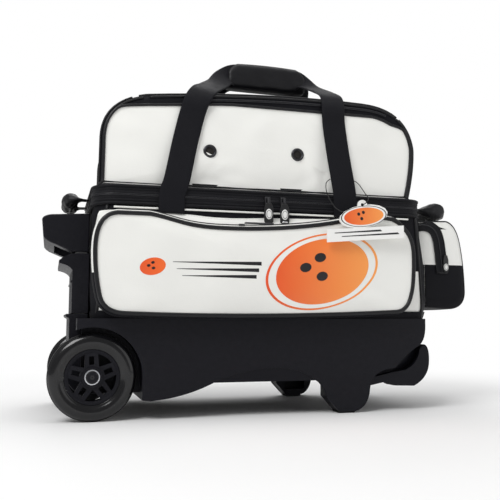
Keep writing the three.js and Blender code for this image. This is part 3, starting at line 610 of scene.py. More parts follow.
def cordlike(name, path, radius, finish, body="bag", slot="black_nylon", closed=False, sides=10):
    """A round tube along a path of points, such as piping."""
    verts, count, side_way = [], len(path), None
    for i, spot in enumerate(path):
        before = path[(i - 1) % count] if closed else path[max(i - 1, 0)]
        after = path[(i + 1) % count] if closed else path[min(i + 1, count - 1)]
        along = (after - before).normalized()
        if side_way is None:
            side_way = along.orthogonal().normalized()
        side_way = (side_way - along * side_way.dot(along)).normalized()
        other = along.cross(side_way)
        for k in range(sides):
            a = 2 * math.pi * k / sides
            verts.append(spot + (side_way * math.cos(a) + other * math.sin(a)) * radius / 1000)
    faces = bands(sides, count, closed) + ([] if closed else both_ends(sides, count))
    return shaped(name, verts, faces, finish, body, slot)


# A raised bead runs round the open side of the housing's shelf, as a stiffener.
bead = [at(-317.6, y, 205) for y in (-84, -40, 0, 40, 84)]
cordlike("housing_bead", bead, 1.6, moulded_finish, "bag", "moulded_plastic")

# ---- Ball compartment ---------------------------------------------------------------------------
# The soft lower half, sewn from coated leather panels front and rear and black nylon ends, stands
# in the tub. Piping covers the upright seams, and a black trim runs round the bottom.
leather_finish = coated(
    "white_coated_leather", (0.86, 0.86, 0.825), 0.4, grain, 950.0, 0.22, tone=0.05, patch=7.0,
    coat_weight=0.12, coat_roughness=0.3,
)
tree = leather_finish.node_tree
slack = put(
    tree, "TexNoise",
    {"Vector": put(tree, "TexCoord").outputs["Object"], "Scale": 7.0, "Detail": 1.0, "Distortion": 0.3},
)
hollows = put(tree, "Bump", {"Height": slack.outputs["Fac"], "Strength": 0.6, "Distance": 0.03})
fine_bump = next(node for node in tree.nodes if node.type == "BUMP" and node != hollows)
tree.links.new(hollows.outputs["Normal"], fine_bump.inputs["Normal"])
nylon_finish = coated(
    "black_nylon_cloth", (0.005, 0.005, 0.0075), 0.62, weave, 1100.0, 0.5, tone=0.2, patch=16.0,
    sheen_weight=0.02, sheen_roughness=0.5, specular_ior_level=0.13,
)
piping_finish = coated(
    "black_piping", (0.007, 0.007, 0.009), 0.36, grain, 1200.0, 0.25, worn_and_highlit=(0.02, 0.02, 0.02), tone=0.2,
    specular_ior_level=0.3,
)
thread_finish = coated("white_thread", (0.6, 0.6, 0.58), 0.7, weave, 3000.0, 0.4)
CORNER = 36  # radius of the body's upright corners
BODY_HEIGHTS = (148.6, 152, 158, 166, 180, 200, 220, 240, 262, 284, 300, 309, 316)


def body_box(z):
    """The ball compartment's sides at a height: wheel end, foot end and half depth."""
    heights = (148.6, 172, 236, 316)
    rows = ((-287, 258, 140), (-290, 266, 142), (-290, 261, 142), (-289, 255, 141.5))
    for (z0, a), (z1, b) in zip(zip(heights, rows), list(zip(heights, rows))[1:]):
        if z <= z1:
            t = (z - z0) / (z1 - z0)
            return tuple(p + (q - p) * t for p, q in zip(a, b))
    return rows[-1]


def round_box(x0, x1, half, radius, count=160):
    """A level outline with round corners, as (x, y) points from the middle of the front, leftward."""
    r = radius
    line = [Vector(((x0 + x1) / 2, -half))]
    for cx, cy, start in (
        (x0 + r, -half + r, 270), (x0 + r, half - r, 180), (x1 - r, half - r, 90), (x1 - r, -half + r, 0)
    ):
        for k in range(13):
            a = math.radians(start - 90 * k / 12)
            line.append(Vector((cx + r * math.cos(a), cy + r * math.sin(a))))
    return evened(line, count)


def walls(heights, shape_at, bulge):
    """A skin round the body: rings of round_box at each height, with soft bulges."""
    verts = []
    for z in heights:
        x0, x1, half = shape_at(z)
        ring = round_box(x0, x1, half, CORNER)
        share = (z - heights[0]) / (heights[-1] - heights[0])
        swell = bulge * math.sin(math.pi * share) ** 0.7
        for i, p in enumerate(ring):
            out = outward(ring, i)
            out = out if out.dot(p - Vector(((x0 + x1) / 2, 0))) > 0 else -out
            rough = rough_at(p.x / 55, p.y / 55, z / 38) * 1.5 * (1 if swell > 0.4 else 0)
            spot = p + out * (swell + rough)
            verts.append(at(spot.x, spot.y, z))
    return verts, bands(len(ring), len(heights))


def split_skin(name, verts, faces, cuts, finish, body="bag", slot="black_nylon", stands_for=()):
    """Part of a skin: what is left inside every cut, each a point and the way that is taken off."""
    made = shaped(name, verts, faces, finish, body, slot, stands_for)
    shell = bmesh.new()
    shell.from_mesh(made.data)
    for spot, away in cuts:
        bmesh.ops.bisect_plane(
            shell, geom=[*shell.verts, *shell.edges, *shell.faces], plane_co=spot, plane_no=Vector(away),
            clear_outer=True, dist=1e-6,
        )
    shell.to_mesh(made.data)
    shell.free()
    made.data.shade_smooth()
    return made


body_skin = walls(BODY_HEIGHTS, body_box, 1.5)
LEFT_SEAM, RIGHT_SEAM = at(-271, 0, 316), at(237, 0, 316)
left_out, right_out = Vector((-1, 0, 0.07)), Vector((1, 0, 0.05))
PANEL_SEAM = at(0, 0, 226)
split_skin(
    "ball_compartment_panels", *body_skin,
    [(LEFT_SEAM, left_out), (RIGHT_SEAM, right_out), (PANEL_SEAM, (0, 0, 1))],
    leather_finish, "bag", "white_leather", ["lower_body"],
)
split_skin(
    "ball_compartment_yoke", *body_skin,
    [(LEFT_SEAM, left_out), (RIGHT_SEAM, right_out), (PANEL_SEAM, (0, 0, -1))],
    nylon_finish,
)
for y_side, word in BOTH_FACES:
    rim_path = [at(x, y_side * 143.4, 312.6) for x in range(-262, 228, 7)]
    cordlike(f"{word}_white_edging", rim_path, 1.5, leather_finish, "bag", "white_leather", False, 8)
split_skin("ball_compartment_wheel_end", *body_skin, [(LEFT_SEAM, -left_out)], nylon_finish)
split_skin("ball_compartment_foot_end", *body_skin, [(RIGHT_SEAM, -right_out)], nylon_finish)
for y_side, word in BOTH_FACES:
    for x, lean, end in ((-271, 0.07, "wheel_end"), (237, 0.05, "foot_end")):
        path = []
        for k in range(25):
            z = 149 + 167 * k / 24
            x0, x1, half = body_box(z)
            sx = x + (z - 316) * (lean if x < 0 else -lean)
            inside = min(sx - x0, x1 - sx, CORNER)
            depth = half - CORNER + math.sqrt(max(CORNER ** 2 - (CORNER - inside) ** 2, 0))
            path.append(at(sx, y_side * (depth + 1.5), z))
        cordlike(f"{word}_{end}_body_piping", path, 2.4, piping_finish)


def trim_box(z):
    """The body's sides with the trim's thickness added."""
    return tuple(v + d for v, d in zip(body_box(max(z, 149)), (-1.6, 1.6, 2.0)))


trim_skin = walls((146, 148.5, 152, 156, 159.5), trim_box, 1.2)
shaped("bottom_trim", *trim_skin, nylon_finish)

foam_finish = coated("cup_foam", (0.03, 0.03, 0.033), 0.9, grain, 260.0, 0.8)
for end in ("wheel_end", "foot_end"):
    softened(f"ball_cup_{end}", f"ball_cup_{end}_foam", foam_finish, "bag", 1.5, 35, 2)

# ---- Main zip -----------------------------------------------------------------------------------
# A wide band of nylon runs round the bag between its two halves, with piping at each edge, ribs of
# tape and a coil zip in the middle. Its lower half stays with the bag and its upper half lifts.
tape_finish = coated(
    "zip_tape", (0.0055, 0.0055, 0.008), 0.55, weave, 1700.0, 0.5, tone=0.2, sheen_weight=0.05,
    specular_ior_level=0.16,
)
coil_finish = coated("zip_coil", (0.014, 0.014, 0.018), 0.34, grain, 1500.0, 0.15, tone=0.25)
BAND_ENDS, BAND_HALF = (-291.5, 253.5), 142.5
ZIP_LEVEL = 332  # where the band's two halves part


def banded(name, profile, finish, body, stands_for=()):
    """A skin round the band from (height, stand-out) pairs, closed at its back."""
    verts = []
    rows = [*profile, (profile[-1][0], -4), (profile[0][0], -4)]
    ring = round_box(*BAND_ENDS, BAND_HALF, CORNER)
    for z, out in rows:
        for i, p in enumerate(ring):
            way = outward(ring, i)
            way = way if way.dot(p) > 0 else -way
            slack = rough_at(p.x / 70, p.y / 70, 3.1) * 0.8
            spot = p + way * out
            verts.append(at(spot.x, spot.y, z + slack * (1 if abs(z - ZIP_LEVEL) > 2 else 0.2)))
    faces = bands(len(ring), len(rows), True)
    return shaped(name, verts, faces, finish, body, "black_nylon", stands_for)


bead_low = [(316.8, 0.2), (317.2, 1.6), (318.3, 2.6), (319.8, 2.6), (320.9, 1.6), (321.2, 0.4)]
ribs_low = [
    (322.2, 0.3), (323.0, 1.3), (324.2, 1.5), (325.0, 0.5), (326.4, 0.3), (327.2, 1.0), (330.4, 1.0), (331.6, 0.2),
]
bead_high, ribs_high = (
    [(2 * ZIP_LEVEL - z, out) for z, out in reversed(low)] for low in (bead_low, ribs_low)
)
banded("main_zip_lower_band", [*bead_low, *ribs_low], tape_finish, "bag", ["main_zip_lower"])
banded("main_zip_upper_band", [*ribs_high, *bead_high], tape_finish, "lid", ["main_zip_upper"])


COIL_PITCH, COIL_SIDES = 2.0, 8


def coil(name, path, radius, body="bag"):
    """A zip coil: a thin tube whose turns stand out, one to each pitch of its length."""
    length = sum((b - a).length for a, b in zip(path, path[1:])) * 1000
    line = evened(path, int(length / COIL_PITCH) * 2, False)
    made = cordlike(name, line, radius, coil_finish, body, sides=COIL_SIDES)
    for i, vertex in enumerate(made.data.vertices):
        if (i // COIL_SIDES) % 2:
            vertex.co = vertex.co.lerp(line[i // COIL_SIDES], 0.34)
    return made


ring = round_box(BAND_ENDS[0] - 1.1, BAND_ENDS[1] + 1.1, BAND_HALF + 1.1, CORNER, 320)
first = next(i for i, p in enumerate(ring) if p.y > 112)
last = max(i for i, p in enumerate(ring) if p.y > 112)
three_sides = [at(p.x, p.y, 0) for p in (*ring[last + 1:], *ring[:first])]
coil("main_zip_lower_coil", [p + Vector((0, 0, 0.3311)) for p in three_sides], 0.8, "bag")
coil("main_zip_upper_coil", [p + Vector((0, 0, 0.3329)) for p in three_sides], 0.8, "lid")

# A ledge of the same tape joins the band to the narrower half above it.
edge_ring = round_box(*BAND_ENDS, BAND_HALF - 0.6, CORNER)
inner_ring = round_box(-270, 216, 116, 30)
ledge = ((edge_ring, 346.2), (inner_ring, 347.6), (inner_ring, 346.2), (edge_ring, 344.8))
verts = [at(p.x, p.y, z) for ring, z in ledge for p in ring]
shaped("main_zip_ledge", verts, bands(len(edge_ring), len(ledge), True), tape_finish, "lid")

# ---- Shoe compartment ---------------------------------------------------------------------------
# Two puffed white panels, front and rear, are piped to a black nylon gusset that runs up one end,
# over the crowned top and down the other. A second zip lets the top open as a flap.
upper_line = anticlockwise(evened(drawn(
    (-284, 347.2), (-283, 424), (-280, 480, -214, 493), (-20, 515, 150, 509),
    (232, 506, 243, 438), (244, 400, 230, 347.2),
), 240))
ZIP_HEIGHT = 487.3
UPPER_HALF = 130


def step_up(value, low, high):
    t = min(max((value - low) / (high - low), 0), 1)
    return t * t * (3 - 2 * t)


def leaning(x, y, z):
    """A place on the shoe compartment, whose wheel end leans in towards the back."""
    return at(x + 13 * step_up(-x, 190, 290) * (y + UPPER_HALF) / (2 * UPPER_HALF), y, z)


def panel_edge(p):
    if p.y < 348:
        return 0.5
    side = 6 if p.x < 0 else 8.5
    return side + 12.5 * step_up(p.y, 470, 497)


seam = [Vector((p.x, min(p.y, 486.6))) for p in pulled_in(upper_line, panel_edge)]


def crease(x, z, start, end, width, depth):
    """The height of a soft fold that runs from start to end, at (x, z)."""
    a, b, p = Vector(start), Vector(end), Vector((x, z))
    t = min(max((p - a).dot(b - a) / (b - a).length_squared, 0), 1)
    away = (p - a.lerp(b, t)).length
    return depth * math.exp(-((away / width) ** 2)) * math.sin(math.pi * (0.12 + 0.76 * t))


def panel(
    name, line, y_edge, puff, finish, body, slot, stands_for=(), folds=(), rings=22, rough=0.6, side=-1, place=at
):
    """A sewn panel: it swells from its seam, with soft folds. `side` is -1 on the front."""
    count = len(line)
    middle = sum(line, Vector((0, 0))) / count
    verts = []
    for k in range(rings):
        s = 1 - k / rings
        for p in line:
            q = middle.lerp(p, s)
            full = 1 - s ** 5
            swell = puff * (1 - s ** 3.2)
            swell += full * sum(crease(q.x, q.y, *fold) for fold in folds)
            swell += full * rough * rough_at(q.x / 60, q.y / 45, y_edge)
            swell += full * rough * 0.4 * rough_at(q.x / 22, q.y / 20, y_edge)
            verts.append(place(q.x, y_edge + side * swell, q.y))
    verts.append(place(middle.x, y_edge + side * puff, middle.y))
    faces = bands(count, rings) + fan(count, rings)
    return shaped(name, verts, faces, finish, body, slot, stands_for)


front_folds = (
    ((-150, 352), (-70, 372), 13, -4.2), ((-142, 378), (-48, 354), 10, 3.4),
    ((-150, 404), (-90, 378), 12, 3.0), ((-135, 352), (-110, 392), 9, -2.8), ((78, 352), (68, 455), 9, -4.2),
    ((60, 350), (54, 440), 11, 2.6), ((20, 352), (66, 385), 12, -2.4), ((-275, 455), (-225, 430), 12, 2.6),
    ((-276, 420), (-215, 400), 15, -2.0), ((205, 352), (236, 366), 9, -3.4), ((150, 440), (225, 420), 16, 1.8),
    ((-40, 480), (60, 490), 16, -1.6), ((-120, 356), (60, 352), 22, -3.4), ((-100, 385), (-20, 362), 16, 2.6),
)
upper_front = panel(
    "upper_front_panel", seam, -UPPER_HALF - 0.6, 3.2, leather_finish, "lid", "white_leather",
    ["upper_body"], front_folds, rough=0.9, place=leaning,
)
upper_rear = panel(
    "upper_rear_panel", seam, UPPER_HALF + 0.6, 3.2, leather_finish, "lid", "white_leather", (),
    front_folds[:3], rough=0.9, side=1, place=leaning,
)
rim = ((9, 130), (6.2, 129.2), (2.6, 127.2), (0.8, 124.6), (0, 121))
verts = []
layers = [(None, -UPPER_HALF - 0.2), *[(inset, -y) for inset, y in rim], (1.6, -80), (2.2, 0), (1.6, 80)]
layers += [*[(inset, y) for inset, y in reversed(rim)], (None, UPPER_HALF + 0.2)]
for inset, y in layers:
    row = seam if inset is None else pulled_in(upper_line, inset)
    for p in row:
        sag = rough_at(p.x / 60, y / 50, p.y / 50) * (1.8 if abs(y) < 110 else 0.2)
        verts.append(leaning(p.x * (1 - sag / 500), y, p.y - max(sag, 0) * 0.5))
count = len(seam)
faces = bands(count, len(layers))
zip_level = at(0, 0, ZIP_HEIGHT)
split_skin("upper_gusset", verts, faces, [(zip_level, (0, 0, 1))], nylon_finish, "lid")
split_skin(
    "top_flap_cloth", verts, faces, [(zip_level, (0, 0, -1))], nylon_finish, "flap", "black_nylon", ["top_flap"]
)
for y_side, word in BOTH_FACES:
    loop = [leaning(p.x, y_side * (UPPER_HALF + 1.4), p.y) for p in seam]
    cordlike(f"upper_{word}_seam_piping", loop, 2.3, piping_finish, "lid", closed=True)
    for inset, y, radius, word2 in ((5.0, 129.6, 1.9, "inner"), (0.6, 125.4, 1.9, "outer")):
        edge = [leaning(p.x, y_side * y, p.y) for p in pulled_in(upper_line, inset)]
        first = min(range(count), key=lambda i: (edge[i].z, edge[i].x))
        edge = edge[first:] + edge[:first]
        low = [p for p in edge if 0.3475 < p.z < 0.4868]
        high = [p for p in edge if p.z > 0.4884]
        for part, rides, tag in ((low, "lid", "lower"), (high, "flap", "top")):
            runs, run = [], []
            for p in part:
                if run and (p - run[-1]).length > 0.03:
                    runs.append(run)
                    run = []
                run.append(p)
            runs.append(run)
            for number, run in enumerate(runs):
                if len(run) > 3:
                    cordlike(
                        f"upper_{word}_{word2}_{tag}_{number}", run, radius, piping_finish, rides, "black_nylon"
                    )
zip_run = [p for p in pulled_in(upper_line, 10.5) if p.y > 489.5]
zip_run.sort(key=lambda p: p.x)
coil("top_zip_coil_near", [at(p.x, -131.2, p.y) for p in zip_run], 1.0, "flap")
coil("top_zip_coil_far", [at(p.x, -131.0, p.y - 2.1) for p in zip_run], 1.0, "flap")

# Vent eyelets: dark plated rings rolled over the panel, each with a wire mesh behind it.
upper_ground = surface(upper_front)
mesh_finish = coated("vent_mesh", (0.03, 0.027, 0.025), 0.5, weave, 1400.0, 1.0, metallic=0.6)
for end, x, z in (("wheel_end", -115, 408), ("foot_end", 30, 412)):
    face = struck(upper_ground, x, z).y * 1000 - FRONT_SHIFT
    lip = [(6.6, face + 0.6), (6.4, face - 0.9), *arc(8.7, face - 0.7, 1.9, 215, 350, 10), (10.7, face + 0.6)]
    turned(f"vent_ring_{end}", lip, x, z, gunmetal_finish, "lid", "zip_metal", [f"vent_eyelet_{end}"], 64)
    turned(
        f"vent_mesh_{end}", [(0.02, face - 0.5), (7.0, face - 0.3), (7.0, face + 0.4), (0.02, face + 0.4)],
        x, z, mesh_finish, "lid", "zip_metal", (), 48,
    )

# ---- Front pocket -------------------------------------------------------------------------------
# A puffed pocket across the front, cut from the same coated leather, with heavy piping round its
# face, a white gusset above and black below, and a zip across the mouth. Its print is plain.
pocket_line = anticlockwise(evened(drawn(
    (-258, 303), (-211, 303), (-180, 298, -160, 287, -110, 286), (-20, 284, 60, 296, 98, 305),
    (140, 316, 180, 310), (194, 305, 201, 296), (219, 280, 219, 250), (219, 205, 213, 186),
    (206, 156, 180, 156), (-40, 145, -246, 152.5), (-278, 154, -284, 180),
    (-291, 210, -291.5, 245), (-292, 300, -258, 303),
), 300))
POCKET_Y = -167
pocket_folds = (
    ((-268, 204), (-190, 184), 14, -2.4), ((-230, 285), (-150, 262), 18, 2.2), ((-120, 170), (20, 176), 20, 1.8),
    ((150, 290), (190, 230), 16, -2.2), ((80, 172), (180, 184), 14, 1.8), ((-275, 236), (-225, 226), 12, 1.8),
    ((-60, 262), (60, 276), 16, -1.8), ((120, 200), (200, 176), 12, -2.0),
)
pocket_face = panel(
    "front_pocket_face", pulled_in(pocket_line, 3), POCKET_Y, 6.5, leather_finish, "bag", "white_leather",
    ["front_pocket", "front_pocket_zip"], pocket_folds, 26, 0.8,
)
cordlike(
    "front_pocket_piping", edge_at(pocket_line, POCKET_Y - 0.6, 2.6), 3.3,
    piping_finish, closed=True, sides=12,
)
cordlike(
    "front_pocket_rear_piping", edge_at(pocket_line, -144.6, -1.2), 2.0,
    piping_finish, closed=True, sides=10,
)
verts = []
gusset_rise = (0, 0, 0, 0.05, 0.55, 1)
gusset_rows = ((1.4, POCKET_Y + 0.5), (-1.4, -165.6), (-2.8, -162), (-2.6, -156), (-1.6, -149), (-0.8, -143.5))
for row, (inset, y) in enumerate(gusset_rows):
    for p in pulled_in(pocket_line, inset):
        lean = step_up(p.y, 275, 290) * gusset_rise[row] * max(0, 309 - p.y) * 0.8
        verts.append(at(p.x, y, p.y + lean))
faces = bands(len(pocket_line), len(gusset_rows))
gusset_seam = at(0, 0, 213)
gusset_high = split_skin(
    "pocket_gusset_upper", verts, faces, [(gusset_seam, (0, 0, -1))], leather_finish, "bag", "white_leather"
)
split_skin("pocket_gusset_lower", verts, faces, [(gusset_seam, (0, 0, 1))], nylon_finish)
mouth = [p for p in pocket_line if p.y > 282 and -262 < p.x < 205]
mouth.sort(key=lambda p: p.x)
coil("pocket_zip_coil", [at(p.x, -161.5, p.y + 3.6) for p in mouth], 1.1, "bag")
gusset_ground = surface(gusset_high)
stitch_line = []
for p in mouth:
    level = p.y + 2.4 + step_up(p.y, 275, 290) * max(0, 309 - p.y) * 0.62
    hit = struck(gusset_ground, p.x, level, -155.5)
    if hit and max(0, 309 - p.y) > 4:
        stitch_line.append(hit - Vector((0, 0.0003, 0)))
stitch_line = evened(stitch_line, 320, False)


STITCH_SHARE, STITCH_SIDES = 0.992, 5  # of the way to the next point


def stitches(name, line, radius, slot="black_nylon", finish=thread_finish):
    """A row of thread stitches along a line, one to each pair of its points."""
    verts, faces = [], []
    for a, b in zip(line[::2], line[1::2]):
        b = a.lerp(b, STITCH_SHARE)
        along = (b - a).normalized()
        side_way = along.orthogonal().normalized()
        other = along.cross(side_way)
        base = len(verts)
        for share_along, size in ((0, 0.5), (0.2, 1), (0.8, 1), (1, 0.5)):
            for k in range(STITCH_SIDES):
                angle = 2 * math.pi * k / STITCH_SIDES
                way = side_way * math.cos(angle) + other * math.sin(angle)
                verts.append(a.lerp(b, share_along) + way * size * radius / 1000)
        faces += [tuple(base + v for v in face) for face in bands(STITCH_SIDES, 4)]
    return shaped(name, verts, faces, finish, "bag", slot)


stitches("pocket_mouth_stitching", stitch_line, 0.35, "white_leather")

pocket_ground = surface(pocket_face)
pocket_orange = ink("pocket_orange_ink", DEEP_ORANGE, PALE_ORANGE, (-30, 150))
emblem_orange = ink("emblem_orange_ink", DEEP_ORANGE, (0.9, 0.16, 0.025), (-230, -180))


def on_pocket(name, outline, inner, finish, lift=0.15):
    return printed(name, outline, inner, finish, "bag", "white_leather", -180, pocket_ground, lift)


on_pocket("pocket_ball", ellipse(57, 221, 79, 49, 15, 96), 0, pocket_orange)
on_pocket("pocket_ball_ring", ellipse(57, 221, 96, 57, 15, 96), 0.955, pocket_orange)
for number, (x, z) in enumerate(((28, 226), (52, 242), (55, 213))):
    on_pocket(f"pocket_ball_hole_{number}", ellipse(x, z, 9.5, 7, 14, 40), 0, black_ink, 0.4)
on_pocket("emblem_ball", ellipse(-207, 223, 19, 12.5, 12, 48), 0, emblem_orange)
for number, (x, z) in enumerate(((-213, 224), (-207, 228.5), (-206, 220.5))):
    on_pocket(f"emblem_hole_{number}", ellipse(x, z, 2.6, 2.0, 12, 20), 0, black_ink, 0.4)
STRIPE_STEPS = 24
for number, (x0, x1, z, tall) in enumerate(((-178, -43, 229, 5.6), (-172, -47, 219, 5.6), (-164, -51, 209, 5.6))):
    steps = [(k, 1) for k in range(STRIPE_STEPS + 1)] + [(k, -1) for k in reversed(range(STRIPE_STEPS + 1))]
    strip, flats = [], []
    for k, up in steps:
        x = x0 + (x1 - x0) * k / STRIPE_STEPS
        z_at = z + up * (tall * (0.12 + 0.88 * k / STRIPE_STEPS) / 2) + 1.2
        hit = struck(pocket_ground, x, z_at)
        strip.append(hit - Vector((0, 0.00015, 0)))
    for k in range(STRIPE_STEPS):
        flats.append((k, k + 1, 2 * STRIPE_STEPS - k, 2 * STRIPE_STEPS + 1 - k))
    shaped(f"pocket_stripe_{number}", strip, flats, black_ink, "bag", "white_leather")

# ---- End pocket ---------------------------------------------------------------------------------
# A boxed pocket on the foot end: white leather above and black nylon below a level seam, with a zip
# that runs over its top and down the front side, and twin rows of stitching beside the body.
end_line = anticlockwise(evened(drawn(
    (267, 168), (267, 321), (330, 323), (352, 318, 358, 275), (364, 240, 364, 195), (362, 166, 330, 165),
), 160))
END_HALF = 85
verts = []
end_rows = [(16, -END_HALF - 2.6), (9, -END_HALF - 1.4), (4, -END_HALF + 0.6), (1, -81), (0, -76), (-0.4, -40)]
end_rows += [(-0.8, 0), *[(inset, -y) for inset, y in reversed(end_rows)]]
for inset, y in end_rows:
    for p in pulled_in(end_line, inset):
        sag = rough_at(p.x / 34, y / 40, p.y / 40) * (1.5 if p.x > 275 else 0.2)
        verts.append(at(min(p.x + sag, 365), y, p.y + sag * 0.6))
faces = bands(len(end_line), len(end_rows)) + both_ends(len(end_line), len(end_rows))
END_SEAM = 243
level_seam = at(0, 0, END_SEAM)
end_upper = split_skin(
    "end_pocket_upper", verts, faces, [(level_seam, (0, 0, -1))], leather_finish, "bag", "white_leather",
    ["end_pocket", "end_pocket_zip"],
)
end_lower = split_skin("end_pocket_lower", verts, faces, [(level_seam, (0, 0, 1))], nylon_finish)
for y_side, word in BOTH_FACES:
    edge = [at(p.x + 0.4, y_side * (END_HALF - 3.4), p.y) for p in pulled_in(end_line, 1.6)]
    cordlike(f"end_pocket_{word}_piping", edge, 1.6, piping_finish, closed=True, sides=8)
end_ground = {}
for word, thing in (("upper", end_upper), ("lower", end_lower)):
    end_ground[word] = surface(thing)


def on_end(x, z, lift):
    """The point on the end pocket's front side at (x, z), lifted off it."""
    hit = struck(end_ground["upper" if z > END_SEAM + 0.2 else "lower"], x, z, -300)
    return (hit or at(x, -END_HALF, z)) - Vector((0, lift / 1000, 0))


TAPE_STEPS = 70
TAPE_SHARES = (-1, -0.6, -0.2, 0, 0.2, 0.6, 1)


def end_zip_rows(spots, place, half=10.5):
    """Rows of points along a zip tape, from one edge to the other, on the surface that `place` finds."""
    middle = evened(smooth_line([Vector(spot) for spot in spots], 6), TAPE_STEPS, False)
    rows = []
    for share in TAPE_SHARES:
        row = []
        for k, p in enumerate(middle):
            way = (middle[min(k + 1, TAPE_STEPS - 1)] - middle[max(k - 1, 0)]).normalized()
            row.append(place(p.x - way.y * share * half, p.y + way.x * share * half))
        rows.append(row)
    return rows


front_tape = end_zip_rows(
    ((268, 312), (282, 313), (295, 309.5), (304, 301), (309, 288), (311.5, 272), (313.5, 252), (315.5, 228)),
    lambda x, z: on_end(x, min(z, 321), 1.8),
)
top_tape = end_zip_rows(((298, -72), (298, -30), (298, 30), (298, 66)), lambda x, y: at(x, y, 324.2), 8)
for word, rows in (("front", front_tape), ("top", top_tape)):
    verts = [p for row in rows for p in row]
    faces = [
        (k * TAPE_STEPS + i, k * TAPE_STEPS + i + 1, (k + 1) * TAPE_STEPS + i + 1, (k + 1) * TAPE_STEPS + i)
        for k in range(len(TAPE_SHARES) - 1) for i in range(TAPE_STEPS - 1)
    ]
    shaped(f"end_zip_{word}_tape", verts, faces, tape_finish)
    coil(f"end_zip_{word}_coil", rows[3], 1.3, "bag")
cordlike("end_zip_edge_near", front_tape[0], 0.8, piping_finish)
cordlike("end_zip_edge_far", front_tape[-1], 0.8, piping_finish)
for number, x in enumerate((275, 280.5)):
    line = [on_end(x + (z - 170) * 0.01, z, 0.25) for z in range(172, 250)]
    stitches(f"end_pocket_stitching_{number}", evened(line, 52, False), 0.45)
level = [on_end(x, END_SEAM - 2.2, 0.25) for x in range(272, 352, 2)]
stitches("end_pocket_level_stitching", evened(level, 50, False), 0.35, finish=piping_finish)
zip_stop = [on_end(x, 229, 1.8) for x in (306, 311, 315.5, 320, 325)]
cordlike("end_zip_stop", zip_stop, 1.6, piping_finish)

# ---- Carry straps -------------------------------------------------------------------------------
# Each loop is one length of polypropylene webbing. Its ends are sewn flat to the body just under the main zip.
STRAP_HALF, STRAP_THICK = 20, 1.5
# Each row is a place, then the way the webbing faces there if that is not straight to the front.
strap_legs = (
    (-176.5, -146.2, 306), (-176.3, -146.2, 318), (-176, -146.2, 327), (-175, -146.2, 338), (-170, -146, 352),
    (-155, -139, 420), (-143, -136.5, 468), (-136.5, -136.5, 487, 0, -0.95, 0.3),
    (-126, -129, 505, 0.05, -0.7, 0.7), (-104, -88, 528, 0.05, -0.6, 0.8), (-80, -40, 553, 0.05, -0.6, 0.8),
    (-62, -14, 573, 0, -0.9, 0.4), (-42, -9, 581), (16, -9, 582.5), (70, -9, 581),
    (84, -14, 574, 0, -0.95, 0.3), (92, -38, 560, 0, -0.6, 0.8), (95, -84, 538, 0, -0.6, 0.8),
    (94.5, -122, 517, 0, -0.65, 0.75), (93, -133.5, 500, 0, -0.9, 0.4), (92, -136.5, 486, 0, -0.97, 0.2),
    (93, -136, 468), (98, -139, 420), (106, -146, 352), (107, -146.2, 338), (107, -146.2, 327),
    (107, -146.2, 318), (107, -146.2, 311),
)


def ribbed(name, colour, rough, per_metre):
    """Webbing: cross ribs and fine diagonal threads, laid out along its own length, with painted shade in the grooves
    between the ribs.
    """
    made, tree, shader = blank(name)
    lay = put(tree, "Attribute", attribute_name="lay").outputs["Vector"]
    parts = put(tree, "SeparateXYZ", {0: lay}).outputs
    first, second = (
        sum_of(tree, "SINE", sum_of(tree, "MULTIPLY", sum_of(
            tree, way, parts["Y"], sum_of(tree, "MULTIPLY", parts["X"], 0.9)
        ), per_metre * math.tau), 0.0)
        for way in ("ADD", "SUBTRACT")
    )
    height = sum_of(tree, "MAXIMUM", first, second)
    bump = put(tree, "Bump", {"Height": height, "Strength": 0.55, "Distance": 0.0004})
    uneven = put(tree, "Group", {"Vector": lay, "Size": 40}, node_tree=patches).outputs["Tone"]
    # Painted shade: the colour darkens in the low grooves of the ribs.
    shade = sum_of(tree, "MULTIPLY_ADD", height, 0.35, True)
    feed(tree, shader, {
        "Base Color": mixed(tree, shade, [c * 0.6 for c in colour], colour),
        "Roughness": ranged(tree, uneven, rough * 0.85, rough * 1.1), "Normal": bump.outputs["Normal"],
        "Sheen Weight": 0.02, "Specular IOR Level": 0.14,
    })
    return made


webbing_finish = ribbed("polypropylene_webbing", (0.0055, 0.0055, 0.0085), 0.65, 420)


def webbing_skin(name, legs, half, thick, finish, mirror=False):
    """A length of webbing along its legs, with thin rounded edges."""
    points = smooth_line([at(*leg[:3]) for leg in legs], 6)
    ways = [Vector(leg[3:] or (0, -1, 0)) + Vector((0.0001 * i, 0, 0)) for i, leg in enumerate(legs)]
    facings = smooth_line(ways, 6)
    across = [-1, -0.97, -0.9, -0.6, -0.2, 0.2, 0.6, 0.9, 0.97, 1]
    swell = [0.25, 0.8, 1.12, 1, 1, 1, 1, 1.12, 0.8, 0.25]
    profile = [(u * half, t * thick) for u, t in zip(across, swell)]
    profile += [(u * half, -t * thick) for u, t in zip(reversed(across), reversed(swell))]
    verts, lay, run = [], [], 0.0
    for i, spot in enumerate(points):
        before, after = points[max(i - 1, 0)], points[min(i + 1, len(points) - 1)]
        along = (after - before).normalized()
        side_way = along.cross(facings[i]).normalized()
        out = side_way.cross(along).normalized()
        if i:
            run += (spot - points[i - 1]).length
        for u, t in profile:
            p = spot + side_way * u / 1000 + out * t / 1000
            if mirror:
                p = Vector((p.x, 2 * FRONT_SHIFT / 1000 - p.y, p.z))
            verts.append(p)
            lay.append((u / 1000, run, 0))
    faces = bands(len(profile), len(points)) + both_ends(len(profile), len(points))
    made = shaped(name, verts, faces, finish, None, "black_nylon")
    layer = made.data.attributes.new("lay", "FLOAT_VECTOR", "POINT")
    layer.data.foreach_set("vector", [v for row in lay for v in row])
    return made


for side in ("front", "rear"):
    far = side == "rear"
    strap = webbing_skin(f"{side}_carry_webbing", strap_legs, STRAP_HALF, STRAP_THICK, webbing_finish, far)
    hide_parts(f"{side}_carry_strap", f"{side}_strap_tail_wheel_end", f"{side}_strap_tail_foot_end")
    low, high = at(0, -146, 320), at(0, -146, 334)
    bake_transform(strap)

